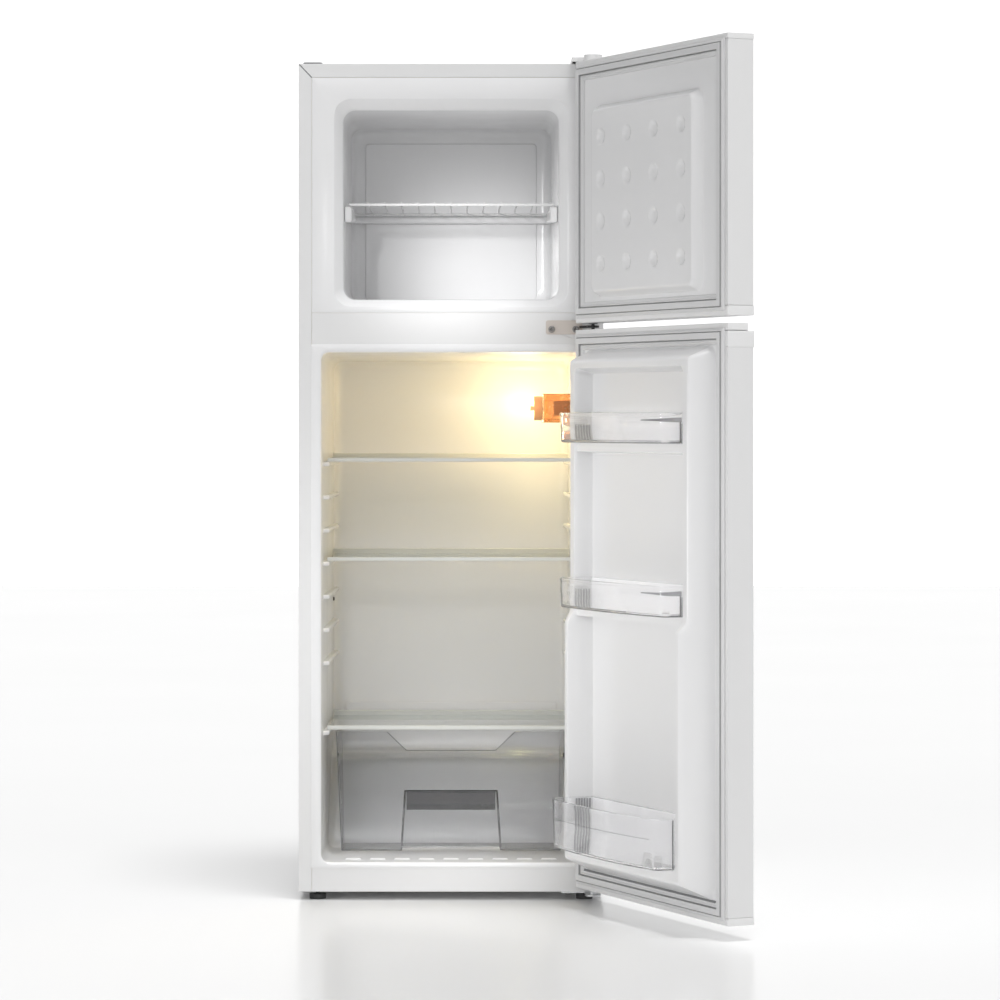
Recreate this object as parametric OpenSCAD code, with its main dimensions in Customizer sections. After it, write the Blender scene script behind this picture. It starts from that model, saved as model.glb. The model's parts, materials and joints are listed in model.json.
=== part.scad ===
// Free-standing refrigerator with a freezer compartment above the fridge compartment.
// X runs to the right, Y from the front into the cabinet, Z up. The origin is on the floor, below the
// middle of the cabinet's front face. The doors are drawn shut and then swung open about their hinge pins.

/* [Cabinet] */
// Width of the cabinet and of both doors
cab_w = 545; // [535:5:560]
// Depth of the cabinet body, without the doors and the condenser
cab_d = 510; // [505:5:550]
// Height of the cabinet top above the floor
cab_h = 1495; // [1490:5:1530]
// Height of the underside of the cabinet above the floor
foot_h = 15; // [15:1:18]
// Height of the underside of the freezer door above the floor
split_z = 1030; // [1025:1:1035]

/* [Compartments] */
// Half width of the freezer opening at the front
freezer_half_w = 207.3; // [200:0.1:212]
// Depth of the freezer compartment
freezer_d = 400; // [395:1:410]
// Half width of the fridge opening at the front
fridge_half_w = 233.3; // [231:0.1:235]
// Depth of the fridge compartment
fridge_d = 430; // [425:1:435]
// Vertical distance between neighbouring shelf ledges
ledge_pitch = 60; // [55:1:62]

/* [Doors] */
// Thickness of both doors
door_t = 49; // [46:1:55]
// Gap between a shut door's inner face and the cabinet
door_gap = 9; // [9:0.5:12]
// Angle that the doors stand open
door_angle = 115.3; // [100:0.1:120]
// Vertical gap between the two doors
door_split = 12; // [11:0.5:14]

/* [Hidden] */
$fn = 48;

// Sheet and wall thicknesses
steel = 1;
liner_t = 2;
door_liner_t = 1.5;
foam_gap = 0.3;
fit = 0.05;
half_w = cab_w / 2;
inside_w = half_w - steel - foam_gap;

// Front face of the cabinet
flange_w = 23.5;
top_flange = 24.7;
face_w = half_w - flange_w - foam_gap;
rail_z0 = split_z - 38;
rail_z1 = split_z + 19.6;
toe_z = foot_h + 43;

// Freezer compartment
fz_z0 = split_z + 32.3;
fz_z1 = cab_h - 64.6;
fz_lip_y = 20;
fz_lip_side = 14.3;
fz_lip_top = 17.4;
fz_lip_low = 11.7;
fz_draft = 4;
fz_in_w = freezer_half_w - fz_lip_side;
wire_z = (fz_z0 + fz_z1) / 2;
wire_rail_r = 2.5;
fz_ledge_z = wire_z - wire_rail_r - 1;
fz_ledge_h = 29;
fz_ledge_rear_h = 13;

// Wire shelf in the freezer, and the ledge that carries it
wire_front_y = 60;
wire_rear_y = 372;
wire_side_x = fz_in_w - 10;
wire_pitch_x = 30;
cross_wire_r = 1.5;
wire_overhang = 3;
weld_sink = 0.4;
fz_ledge_reach = 14;
fz_ledge_front = 46;
fz_ledge_chamfer = 6;
fz_ledge_back = 18;

// Fridge compartment
fr_z0 = foot_h + 50.6;
fr_z1 = rail_z0 - 11.8;
fr_draft = 9.3;
fr_back_w = fridge_half_w - fr_draft;
hump_y0 = 214;
hump_y1 = 335;
hump_z = fr_z0 + 152;
hump_rise = 8;
ledge_w = 12;
ledge_t = 8;
ledge_y0 = 60;
ledge_y1 = 395;
ledge_taper = 14;
top_ledge_z = fr_z1 - 198.2;
ledge_count = 7;
cover_z = fr_z0 + 230.6;
gutter_z = cover_z + 9;
gutter_half_w = 200;
gutter_d = 16;
gutter_floor = 3;
gutter_lip = 2;
pad_pitch = 44;
pad_half_w = 15;
pad_y0 = 40;
pad_y1 = 56;
pad_h = 4;
shelf_y0 = 90;
shelf_y1 = 372;
shelf_half_w = 224;
glass_half_w = 221;
glass_t = 4;
trim_h = 7;
trim_w = 13;
trim_rise = 6;
lower_shelf_ledge = 3;

// Compressor bay at the bottom of the back
bay_y0 = 300;
bay_y1 = 348;
bay_z = 190;
carrier_z = 26;
carrier_t = 2;
comp_x = -60;
comp_y = 430;
comp_r = 60;
comp_z0 = carrier_z + carrier_t + 10;
comp_z1 = 158;
comp_foot = [80, 48];
comp_low_r = 22;
comp_dome_r = 34;
foot_plate_t = 2.5;
foot_hole_r = 4.5;
grommet_r = 9;
bolt_r = 3;
bolt_head_r = 5.5;
bolt_head_h = 5;
tray_h = 18;
tray_wall = 2;
relay_half_w = 26;
relay_d = 34;
carrier_y0 = 365;
carrier_y1 = 495;

// Evaporator plates behind both liners, drain, drier and cable gland
evap_w = 160;
evap_plate_t = 1.5;
evap_room = 14;
evap_runs = 5;
evap_tube_w = 100;
evap_tube_r = 3.5;
evap_margin = 20;
evap_fz_z0 = fz_z0 + 30;
evap_fz_z1 = fz_z1 - 50;
evap_fr_z0 = fr_z0 + 420;
evap_fr_z1 = fr_z1 - 60;
drain_r = 7;
drain_y = 462;
drain_z = gutter_z + gutter_floor + drain_r;
drier_x = 150;
drier_y = 470;
drier_r = 9;
drier_z = 62;
drier_l = 84;
cone_l = 17;
gland_x = 200;
gland_z = 225;
gland_neck_r = 6;

// Doors, drawn shut
in_y = -door_gap;
out_y = in_y - door_t;
hinge_x = half_w - 20;
hinge_y = -34;
cap_proud = 2;
return_w = 11.5;
fz_door_z0 = split_z;
fz_door_z1 = cab_h;
fz_cap_low = 17;
fz_cap_top = 10;
fr_door_z0 = foot_h + 11;
fr_door_z1 = split_z - door_split;
fr_cap_low = 13;
fr_cap_top = 40;
fr_cap_lip = 12;
grip_step = 13;
grip_d = 10;
pin_r = 3;
bush_r = 5;
bush_flange_r = 8;
washer_t = 1.5;
gasket_out = 8;
gasket_in = 36;
gasket_h = 7.5;
root_d = 4;

// Hinge brackets and their screws
bracket_t = 3;
cover_h = 9.5;
cover_boss_h = 12;
cover_boss_r = 16;
middle_screws = [180, 222.8];
middle_screw_z = split_z - 10;
top_screws = [[half_w - 38, 28], [half_w - 18, 46]];
bottom_screws = [[half_w - 62, 18], [half_w - 62, 42]];
screw_r = 2.5;
top_screw_r = 2;
screw_l = 18;

// Raised panel of the freezer door
plateau_w = 190;
plateau_h = 17;
plateau_z0 = fz_door_z0 + 44;
plateau_z1 = fz_door_z1 - 85;
plateau_slope = 9;
plateau_r = 20;
dimple_r = 25;
dimple_depth = 4.2;
dimple_pitch_x = 96;
dimple_pitch_z = 74;

// Raised frame of the fridge door, which holds the bins
dyke_foot = half_w - 40;
dyke_crest = half_w - 65;
dyke_z0 = fr_door_z0 + 38;
dyke_r = 20;
dyke_low_h = 56;
dyke_high_h = 42;
dyke_top_z = fr_door_z1 - 56;
dyke_top_run = 18;
dyke_low_run = 35;
dyke_step_z0 = split_z - 530;
dyke_step_z1 = dyke_step_z0 + 28;
bay_floor_h = 10;
pocket_w = 194.5;
pocket_floor_w = 187;
pocket_z0 = fr_door_z0 + 85;
pocket_z1 = fr_door_z1 - 70;
upper_bin_z = split_z - 212;
middle_bin_z = split_z - 500;
lower_bin_z = pocket_z0 + 0.5;
bin_ledge_h = 15;
bin_ledge_out = 38;
bin_wall = 2;
bin_gap = 0.5;
bin_h = 53;
bin_front_y = in_y + 76;
bin_bow = 12;
lower_bin_h = 86;
lower_bin_front_y = in_y + 90;
lower_bin_bow = 15;
slot_top = 10;
slot_h = 6;

// Crisper drawer
drawer_y0 = 110;
drawer_y1 = 345;
drawer_z0 = fr_z0 + 9.4;
drawer_z1 = cover_z - 4.8;
drawer_top_w = 208.8;
drawer_low_w = 199.4;
drawer_wall = 2.5;
pull_z = drawer_z0 + 107;
pull_d = 42;
pull_drop = 36;
pull_low_w = 89;
pull_top_w = 82;
notch_top_w = 116;
notch_low_w = 81.5;
notch_h = 34;

// Lamp and thermostat on the right wall
lamp_x0 = 169;
lamp_y0 = 150;
lamp_y1 = 290;
lamp_z0 = fr_z1 - 127;
lamp_z1 = fr_z1 - 74;
knob_y = 258;
knob_z = (lamp_z0 + lamp_z1) / 2;
knob_r = 22.5;
knob_t = 14.5;
bulb_x = 205;
bulb_y = 178;
bulb_r = 14;
housing_t = 2;
vent_count = 6;
vent_pitch = 7;
vent_w = 3;
switch_y = 22;
switch_z = fr_z1 - 80;
button_r = 5;
button_x = wall_x(switch_y) - 5.5;

// Feet and rollers
foot_x = half_w - 33.5;
foot_y = 24;
foot_r = 15;
foot_disc_h = 9;
stud_r = 4;
roller_r = 12;
roller_w = 14;
roller_x = half_w - 47.5;
roller_y = 470;

// Condenser on the back
cond_y = cab_d + 10;
cond_r = 2.5;
cond_w = 190;
cond_pitch = 60;
cond_runs = 17;
cond_z0 = 330;
cond_wire_r = 0.8;
cond_wire_pitch = 12;
cond_overhang = 15;

function wall_x(y) = fridge_half_w - fr_draft * y / fridge_d;
function freezer_wall_x(y) = fz_in_w - fz_draft * (y - fz_lip_y) / (freezer_d - fz_lip_y);
function ledge_z(i) = top_ledge_z - i * ledge_pitch;
function arc_radius(half_chord, rise) = (half_chord * half_chord + rise * rise) / (2 * rise);

// ---------- Shared shapes ----------

module block(low, high) {
    translate(low) cube(high - low);
}

module along_x(x0, x1) {
    translate([x0, 0, 0]) rotate([90, 0, 90]) linear_extrude(x1 - x0) children();
}

module along_y(y0, y1) {
    translate([0, y1, 0]) rotate([90, 0, 0]) linear_extrude(y1 - y0) children();
}

module along_z(z0, z1) {
    translate([0, 0, z0]) linear_extrude(z1 - z0) children();
}

module rounded(x0, y0, x1, y1, r) {
    translate([x0 + r, y0]) square([x1 - x0 - 2 * r, y1 - y0]);
    translate([x0, y0 + r]) square([x1 - x0, y1 - y0 - 2 * r]);
    for (x = [x0 + r, x1 - r], y = [y0 + r, y1 - r]) translate([x, y]) circle(r);
}

module both_sides() {
    children();
    mirror([1, 0, 0]) children();
}

module rod(a, b, r) {
    v = b - a;
    flat = norm([v[0], v[1]]);
    translate(a) rotate([0, atan2(flat, v[2]), atan2(v[1], v[0])]) cylinder(h = norm(v), r = r);
}

// Pipe through a list of points, with round elbows
module pipe(points, r) {
    for (i = [0 : len(points) - 2]) rod(points[i], points[i + 1], r);
    for (i = [1 : 1 : len(points) - 2]) translate(points[i]) sphere(r * 1.03);
}

module swung_open() {
    translate([hinge_x, hinge_y, 0]) rotate([0, 0, door_angle]) translate([-hinge_x, -hinge_y, 0]) children();
}

module hinge_cylinder(z0, z1, r) {
    translate([hinge_x, hinge_y, z0]) cylinder(h = z1 - z0, r = r);
}

// ---------- Cabinet ----------

module outer_shell() color("white") difference() {
    block([-half_w, 0, foot_h], [half_w, cab_d, cab_h]);
    block([-half_w + steel, steel, foot_h - 1], [half_w - steel, cab_d + 1, cab_h - steel]);
    block([-half_w + flange_w, -1, foot_h - 1], [half_w - flange_w, steel + 1, cab_h - top_flange]);
    for (p = top_screws) translate([p[0], p[1], cab_h - 5]) cylinder(h = 10, r = 2.2);
}

module back_panel() color("gainsboro") difference() {
    block([-inside_w, cab_d - steel, bay_z + 1.5], [inside_w, cab_d, cab_h - steel - foam_gap]);
    translate([gland_x, cab_d - 5, gland_z]) rotate([-90, 0, 0]) cylinder(h = 10, r = gland_neck_r + 0.1);
}

// Space of the compressor bay, grown by e
module bay_outline(e) {
    polygon([
        [bay_y0 - e, foot_h - 2], [bay_y1 - e, bay_z + e], [cab_d + 2, bay_z + e], [cab_d + 2, foot_h - 2]
    ]);
}

module base_pan() color("gainsboro") difference() {
    union() {
        block([-face_w, 0, foot_h], [face_w, steel, toe_z]);
        block([-inside_w, steel + foam_gap, foot_h], [inside_w, bay_y0, foot_h + steel]);
        block([-face_w, 0, foot_h], [face_w, 3, foot_h + steel]);
        intersection() {
            along_x(-inside_w, inside_w) bay_outline(steel);
            block([-half_w, 0, foot_h], [half_w, cab_d - steel, cab_h]);
        }
    }
    along_x(-half_w, half_w) bay_outline(0);
    for (s = [-1, 1]) translate([s * foot_x, foot_y, foot_h - 1]) cylinder(h = 5, r = stud_r + fit);
    for (p = bottom_screws) translate([p[0], p[1], foot_h - 1]) cylinder(h = 5, r = 2.6);
    translate([0, drain_y, bay_z - 5]) cylinder(h = 10, r = drain_r + 0.3);
}

module centre_rail() color("white") difference() {
    block([-face_w, 0, rail_z0 + 0.2], [face_w, liner_t, rail_z1 - 0.2]);
    for (x = middle_screws) translate([x, -1, middle_screw_z]) rotate([-90, 0, 0]) cylinder(h = 5, r = 2.6);
}

// Freezer space, grown by e. The mouth is bevelled to a slightly narrower box.
module freezer_space(e) {
    intersection() {
        along_z(fz_z0 - 10, fz_z1 + 10) polygon([
            [-freezer_half_w - e, -1], [freezer_half_w + e, -1], [freezer_half_w + e, 0],
            [fz_in_w + e, fz_lip_y], [fz_in_w - fz_draft + e, freezer_d + e],
            [-fz_in_w + fz_draft - e, freezer_d + e], [-fz_in_w - e, fz_lip_y], [-freezer_half_w - e, 0]
        ]);
        along_x(-half_w, half_w) polygon([
            [-1, fz_z0 - e], [0, fz_z0 - e], [fz_lip_y, fz_z0 + fz_lip_low - e],
            [freezer_d + e, fz_z0 + fz_lip_low + fz_draft - e],
            [freezer_d + e, fz_z1 - fz_lip_top - fz_draft + e],
            [fz_lip_y, fz_z1 - fz_lip_top + e], [0, fz_z1 + e], [-1, fz_z1 + e]
        ]);
        along_y(-2, freezer_d + e + 1)
            rounded(-freezer_half_w - e, fz_z0 - e, freezer_half_w + e, fz_z1 + e, 28 + e);
    }
}

module freezer_liner() color("whitesmoke") {
    difference() {
        union() {
            block([-face_w, 0, rail_z1], [face_w, liner_t, cab_h - top_flange - foam_gap]);
            intersection() {
                freezer_space(liner_t);
                block([-half_w, 0, fz_z0 - 20], [half_w, cab_d, fz_z1 + 20]);
            }
        }
        freezer_space(0);
    }
    // Ledge under the wire shelf, along both sides and the back. Its underside rises towards the back.
    both_sides() intersection() {
        along_z(fz_ledge_z - fz_ledge_h, fz_ledge_z) polygon([
            [freezer_wall_x(fz_ledge_front) + 1, fz_ledge_front],
            [fz_in_w - fz_ledge_reach, fz_ledge_front + fz_ledge_chamfer],
            [fz_in_w - fz_ledge_reach, freezer_d - 10], [freezer_wall_x(freezer_d - 10) + 1, freezer_d - 10]
        ]);
        along_x(0, half_w) polygon([
            [fz_ledge_front - 1, fz_ledge_z], [fz_ledge_front - 1, fz_ledge_z - fz_ledge_h],
            [freezer_d - fz_ledge_back, fz_ledge_z - fz_ledge_rear_h],
            [freezer_d, fz_ledge_z - fz_ledge_rear_h], [freezer_d, fz_ledge_z]
        ]);
    }
    block([-fz_in_w + 5, freezer_d - fz_ledge_back, fz_ledge_z - fz_ledge_rear_h],
          [fz_in_w - 5, freezer_d + 1, fz_ledge_z]);
}

// Fridge space, grown by e. Its floor climbs over the compressor bay.
module fridge_space(e) {
    intersection() {
        along_z(fr_z0 - 10, fr_z1 + 10) polygon([
            [-fridge_half_w - e, -1], [fridge_half_w + e, -1], [fridge_half_w + e, 0],
            [fr_back_w + e, fridge_d + e], [-fr_back_w - e, fridge_d + e], [-fridge_half_w - e, 0]
        ]);
        along_x(-half_w, half_w) polygon([
            [-1, fr_z0 - e], [hump_y0 + e / 2, fr_z0 + 2 - e], [hump_y1 + e / 2, hump_z - e],
            [fridge_d + e, hump_z + hump_rise - e], [fridge_d + e, fr_z1 - 10 + e], [-1, fr_z1 + e]
        ]);
        along_y(-2, fridge_d + e + 1)
            rounded(-fridge_half_w - e, fr_z0 - e, fridge_half_w + e, fr_z1 + e, 16 + e);
    }
}

// One shelf ledge on the right wall, with its top at z
module side_ledge(z) {
    along_z(z - ledge_t, z) polygon([
        [wall_x(ledge_y0) + 1, ledge_y0], [wall_x(ledge_y0 + ledge_taper) - ledge_w, ledge_y0 + ledge_taper],
        [wall_x(ledge_y1) - ledge_w, ledge_y1], [wall_x(ledge_y1) + 1, ledge_y1]
    ]);
}

module fridge_liner() color("whitesmoke") difference() {
    union() {
        difference() {
            union() {
                block([-face_w, 0, toe_z + foam_gap], [face_w, liner_t, rail_z0]);
                intersection() {
                    fridge_space(liner_t);
                    block([-half_w, 0, fr_z0 - 20], [half_w, cab_d, fr_z1 + 20]);
                }
            }
            fridge_space(0);
        }
        both_sides() {
            for (i = [0 : ledge_count - 1]) side_ledge(ledge_z(i));
            side_ledge(cover_z);
        }
        // Gutter that catches the meltwater, with a lip along its front
        block([-gutter_half_w, fridge_d - gutter_d, gutter_z],
              [gutter_half_w, fridge_d + 1, gutter_z + gutter_floor]);
        block([-gutter_half_w, fridge_d - gutter_d, gutter_z],
              [gutter_half_w, fridge_d - gutter_d + gutter_lip, gutter_z + gutter_d]);
        // Raised pads on the floor
        for (i = [-4 : 4]) block([i * pad_pitch - pad_half_w, pad_y0, fr_z0 - 1],
                                 [i * pad_pitch + pad_half_w, pad_y1, fr_z0 + pad_h]);
    }
    translate([0, fridge_d - 10, drain_z]) rotate([-90, 0, 0]) cylinder(h = 20, r = drain_r + 0.3);
    translate([wall_x(switch_y) - 5, switch_y, switch_z]) rotate([0, 90, 0])
        cylinder(h = 12, r = button_r + 0.1);
}

module cabinet_foam() color("khaki") difference() {
    block([-inside_w + 0.2, liner_t + foam_gap, foot_h + steel + foam_gap],
          [inside_w - 0.2, cab_d - steel - foam_gap, cab_h - steel - foam_gap]);
    freezer_space(liner_t + foam_gap);
    fridge_space(liner_t + foam_gap);
    along_x(-half_w, half_w) bay_outline(steel + foam_gap);
    // Rooms for what is buried in the foam
    block([-evap_w - 1, freezer_d + 1, evap_fz_z0 - 6], [evap_w + 1, freezer_d + evap_room, evap_fz_z1 + 6]);
    block([-evap_w - 1, fridge_d + 1, evap_fr_z0 - 6], [evap_w + 1, fridge_d + evap_room, evap_fr_z1 + 6]);
    translate([0, drain_y, bay_z - 5]) cylinder(h = drain_z + 20 - bay_z, r = drain_r + 0.5);
    block([-drain_r - 0.5, fridge_d, drain_z - drain_r - 0.5],
          [drain_r + 0.5, drain_y, drain_z + drain_r + 0.5]);
    block([wall_x(switch_y) + 1, switch_y - 12, switch_z - 17], [half_w - 12, switch_y + 12, switch_z + 17]);
    for (s = [-1, 1]) translate([s * foot_x, foot_y, foot_h]) cylinder(h = 34, r = stud_r + 1);
    for (x = middle_screws) translate([x, 0, middle_screw_z]) rotate([-90, 0, 0]) cylinder(h = 20, r = 2.8);
    for (p = bottom_screws) translate([p[0], p[1], foot_h]) cylinder(h = 20, r = 2.8);
    for (p = top_screws) translate([p[0], p[1], cab_h - 20]) cylinder(h = 20, r = 2.8);
    translate([gland_x, cab_d - 30, gland_z]) rotate([-90, 0, 0]) cylinder(h = 40, r = gland_neck_r + 0.5);
}

// ---------- Refrigeration ----------

// Flat plate with a tube that winds over its back
module evaporator(y, z0, z1) {
    first_z = z0 + evap_margin;
    pitch = (z1 - z0 - 2 * evap_margin) / (evap_runs - 1);
    tube_y = y + evap_plate_t + evap_tube_r - 0.3;
    block([-evap_w, y, z0], [evap_w, y + evap_plate_t, z1]);
    for (i = [0 : evap_runs - 1]) {
        z = first_z + i * pitch;
        rod([-evap_tube_w, tube_y, z], [evap_tube_w, tube_y, z], evap_tube_r);
    }
    for (i = [0 : evap_runs - 2]) {
        side = i % 2 == 0 ? 1 : -1;
        translate([side * evap_tube_w, tube_y, first_z + (i + 0.5) * pitch]) rotate([90, 0, 0])
            rotate([0, 0, side > 0 ? -90 : 90])
            rotate_extrude(angle = 180) translate([pitch / 2, 0]) circle(evap_tube_r);
    }
}

module evaporators() color("silver") {
    evaporator(freezer_d + liner_t + 0.3, evap_fz_z0, evap_fz_z1);
    evaporator(fridge_d + liner_t + 0.3, evap_fr_z0, evap_fr_z1);
}

module drain_tube() color("white") difference() {
    pipe([[0, fridge_d + 0.5, drain_z], [0, drain_y, drain_z], [0, drain_y, comp_z1 + 21]], drain_r);
    pipe([[0, fridge_d - 1, drain_z], [0, drain_y, drain_z], [0, drain_y, comp_z1 + 10]], drain_r - 1.5);
}

module drip_tray() color("dimgray") difference() {
    low = [comp_x - 85, comp_y - 55, comp_z1 + 0.3];
    high = [comp_x + 95, comp_y + 50, comp_z1 + tray_h];
    block(low, high);
    block(low + [tray_wall, tray_wall, tray_wall], high + [-tray_wall, -tray_wall, 1]);
}

module compressor() color("black") difference() {
    translate([comp_x, comp_y, 0]) {
        rotate_extrude() polygon(concat(
            [[0, comp_z0 + 1]],
            [for (a = [0 : 15 : 90])
                [comp_r - comp_low_r * (1 - sin(a)), comp_z0 + 1 + comp_low_r * (1 - cos(a))]],
            [for (a = [0 : 15 : 90])
                [comp_r - comp_dome_r * (1 - cos(a)), comp_z1 - comp_dome_r * (1 - sin(a))]],
            [[0, comp_z1]]
        ));
        block([-comp_foot[0] - 10, -comp_foot[1] - 8, comp_z0],
              [comp_foot[0] + 10, comp_foot[1] + 8, comp_z0 + foot_plate_t]);
    }
    at_compressor_feet(comp_z0 - 1) cylinder(h = 6, r = foot_hole_r);
}

module at_compressor_feet(z) {
    for (x = [-1, 1], y = [-1, 1])
        translate([comp_x + x * comp_foot[0], comp_y + y * comp_foot[1], z]) children();
}

module compressor_grommets() color("dimgray") {
    at_compressor_feet(carrier_z + carrier_t) difference() {
        cylinder(h = comp_z0 - carrier_z - carrier_t, r = grommet_r);
        translate([0, 0, -1]) cylinder(h = 20, r = bolt_r + 0.2);
    }
}

module compressor_bolts() color("silver") {
    at_compressor_feet(carrier_z - bolt_head_h) {
        cylinder(h = bolt_head_h, r = bolt_head_r, $fn = 6);
        translate([0, 0, 1]) cylinder(h = comp_z0 + 10 - carrier_z, r = bolt_r);
        translate([0, 0, comp_z0 + foot_plate_t - carrier_z + bolt_head_h])
            cylinder(h = bolt_head_h, r = bolt_head_r, $fn = 6);
    }
}

module relay_cover() color("dimgray") {
    block([comp_x + comp_r + 0.3, comp_y - relay_half_w, comp_z0 + 38],
          [comp_x + comp_r + relay_d, comp_y + relay_half_w, comp_z0 + 92]);
}

module condenser() color("dimgray") {
    for (i = [0 : cond_runs - 1]) {
        z = cond_z0 + i * cond_pitch;
        rod([-cond_w, cond_y, z], [cond_w, cond_y, z], cond_r);
    }
    for (i = [0 : cond_runs - 2]) {
        side = i % 2 == 0 ? 1 : -1;
        translate([side * cond_w, cond_y, cond_z0 + (i + 0.5) * cond_pitch]) rotate([90, 0, 0])
            rotate([0, 0, side > 0 ? -90 : 90])
            rotate_extrude(angle = 180) translate([cond_pitch / 2, 0]) circle(cond_r);
    }
    wire_half = floor((cond_w - 6) / cond_wire_pitch);
    wire_y = cond_y + cond_r + cond_wire_r + 0.05;
    cond_z1 = cond_z0 + (cond_runs - 1) * cond_pitch;
    for (i = [-wire_half : wire_half])
        rod([i * cond_wire_pitch, wire_y, cond_z0 - cond_overhang],
            [i * cond_wire_pitch, wire_y, cond_z1 + cond_overhang], cond_wire_r);
    // Tabs that hold it off the back panel
    for (x = [-1, 1] * (cond_w - 20), z = [cond_z0 + 2 * cond_pitch, cond_z1 - 2 * cond_pitch])
        block([x - 9, cab_d + 0.1, z - 8], [x + 9, cond_y - cond_r - 0.05, z + 8]);
}

module filter_drier() color("peru") {
    translate([drier_x, drier_y, drier_z]) {
        cylinder(h = drier_l, r = drier_r);
        translate([0, 0, 1 - cone_l]) cylinder(h = cone_l, r1 = 3, r2 = drier_r);
        translate([0, 0, drier_l - 1]) cylinder(h = cone_l, r1 = drier_r, r2 = 3);
    }
}

module refrigerant_pipes() color("peru") {
    // Discharge line from the compressor up to the condenser's first run
    pipe([[comp_x - comp_r - 0.5, comp_y, 92], [comp_x - comp_r - 30, comp_y, 92],
          [comp_x - comp_r - 30, cond_y, 130], [-cond_w - 25, cond_y, 180],
          [-cond_w - 25, cond_y, cond_z0], [-cond_w - 0.5, cond_y, cond_z0]], 2.5);
    // Suction line back to the compressor
    pipe([[comp_x + 48, comp_y - 40, 70], [comp_x + 110, comp_y - 40, 70],
          [comp_x + 110, comp_y - 40, bay_z - 0.5]], 3);
    // Lines on both ends of the drier
    pipe([[drier_x, drier_y, drier_z + drier_l + cone_l + 0.5], [drier_x, drier_y, 175],
          [drier_x + 30, drier_y, bay_z - 3]], 2);
    pipe([[drier_x, drier_y, drier_z - cone_l + 0.5], [drier_x, drier_y, 36], [drier_x + 60, drier_y, 36],
          [cond_w + 25, cond_y, 120], [cond_w + 25, cond_y, cond_z0 - 30],
          [cond_w - 1, cond_y, cond_z0 - 30]], 2.5);
}

module power_gland() color("black") difference() {
    translate([gland_x, cab_d - 12, gland_z]) rotate([-90, 0, 0]) {
        cylinder(h = 14, r = gland_neck_r);
        translate([0, 0, 12.1]) cylinder(h = 4, r = 11);
        translate([0, 0, 16]) cylinder(h = 12, r1 = 8, r2 = 5.5);
    }
    translate([gland_x, cab_d - 20, gland_z]) rotate([-90, 0, 0]) cylinder(h = 60, r = 3.4);
}

module compressor_carrier() color("gainsboro") {
    difference() {
        union() {
            block([-inside_w, carrier_y0, carrier_z], [inside_w, carrier_y1, carrier_z + carrier_t]);
            both_sides() block([inside_w - carrier_t, carrier_y0, carrier_z],
                               [inside_w, carrier_y1, carrier_z + 30]);
            // Ears and axles of the rollers
            for (x = [-roller_x, roller_x]) {
                for (ear = [-1, 1]) translate([x + ear * (roller_w / 2 + 2) - 1, roller_y - 8, 5])
                    cube([2, 16, carrier_z - 5]);
                translate([x - roller_w / 2 - 3, roller_y, roller_r]) rotate([0, 90, 0])
                    cylinder(h = roller_w + 6, r = pin_r);
            }
        }
        at_compressor_feet(carrier_z - 1) cylinder(h = 5, r = bolt_r + 0.2);
    }
}

module roller(side) {
    translate([side * roller_x - roller_w / 2, roller_y, roller_r]) rotate([0, 90, 0]) difference() {
        cylinder(h = roller_w, r = roller_r);
        translate([0, 0, -1]) cylinder(h = roller_w + 2, r = pin_r + fit);
    }
}

module rear_roller_left() color("dimgray") roller(-1);
module rear_roller_right() color("dimgray") roller(1);

module foot(side) {
    translate([side * foot_x, foot_y, 0]) {
        cylinder(h = foot_disc_h, r = foot_r);
        cylinder(h = foot_h + 20, r = stud_r);
    }
}

module front_foot_left() color("black") foot(-1);
module front_foot_right() color("black") foot(1);

// ---------- Hinges ----------

module top_hinge_bracket() color("silver") {
    difference() {
        union() {
            block([half_w - 50, 6, cab_h], [half_w - 8, 58, cab_h + washer_t + bracket_t]);
            block([half_w - 32, hinge_y, cab_h + washer_t], [half_w - 8, 7, cab_h + washer_t + bracket_t]);
            hinge_cylinder(cab_h + washer_t, cab_h + washer_t + bracket_t, 12);
            hinge_cylinder(cab_h - 9, cab_h + washer_t + 1, pin_r);
        }
        for (p = top_screws) translate([p[0], p[1], cab_h - 1]) cylinder(h = 10, r = 2.2);
    }
}

module cover_solid(e) {
    low = cab_h + (e > 0 ? -1 : 0.2);
    top = cab_h + cover_h - e;
    block([half_w - 57 + e, -20 + e, low], [half_w - e, 70 - e, top]);
    hinge_cylinder(low + 1.4, cab_h + cover_boss_h - e, cover_boss_r - e);
    block([half_w - 36 + e, hinge_y, low + 1.4], [half_w - 4 - e, 0, top]);
}

module top_hinge_cover() color("white") difference() {
    cover_solid(0);
    cover_solid(1.8);
    block([half_w - 80, -80, cab_h - 2], [half_w + 20, -0.5, cab_h + washer_t + 0.1]);
}

module hinge_hole_cover() color("dimgray") {
    along_z(cab_h + 0.05, cab_h + 3) rounded(-half_w + 8, 6, -half_w + 42, 40, 8);
}

module middle_hinge_bracket() color("tan") difference() {
    union() {
        along_y(-2.5, 0) rounded(169.5, split_z - 19, 234.6, split_z + 6, 4);
        along_z(split_z - 8, split_z - 4) polygon([
            [229.3, 0], [234.6, 0], [hinge_x + 10, hinge_y - 4], [hinge_x - 4, hinge_y - 10],
            [hinge_x - 10, hinge_y], [229.3, -14]
        ]);
        hinge_cylinder(split_z - 8, split_z - 4, 11);
        hinge_cylinder(split_z - 5, split_z + 13, pin_r);
        hinge_cylinder(split_z - 23, split_z - 7, pin_r);
    }
    for (x = middle_screws) translate([x, -4, middle_screw_z]) rotate([-90, 0, 0]) cylinder(h = 10, r = 2.6);
}

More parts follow.
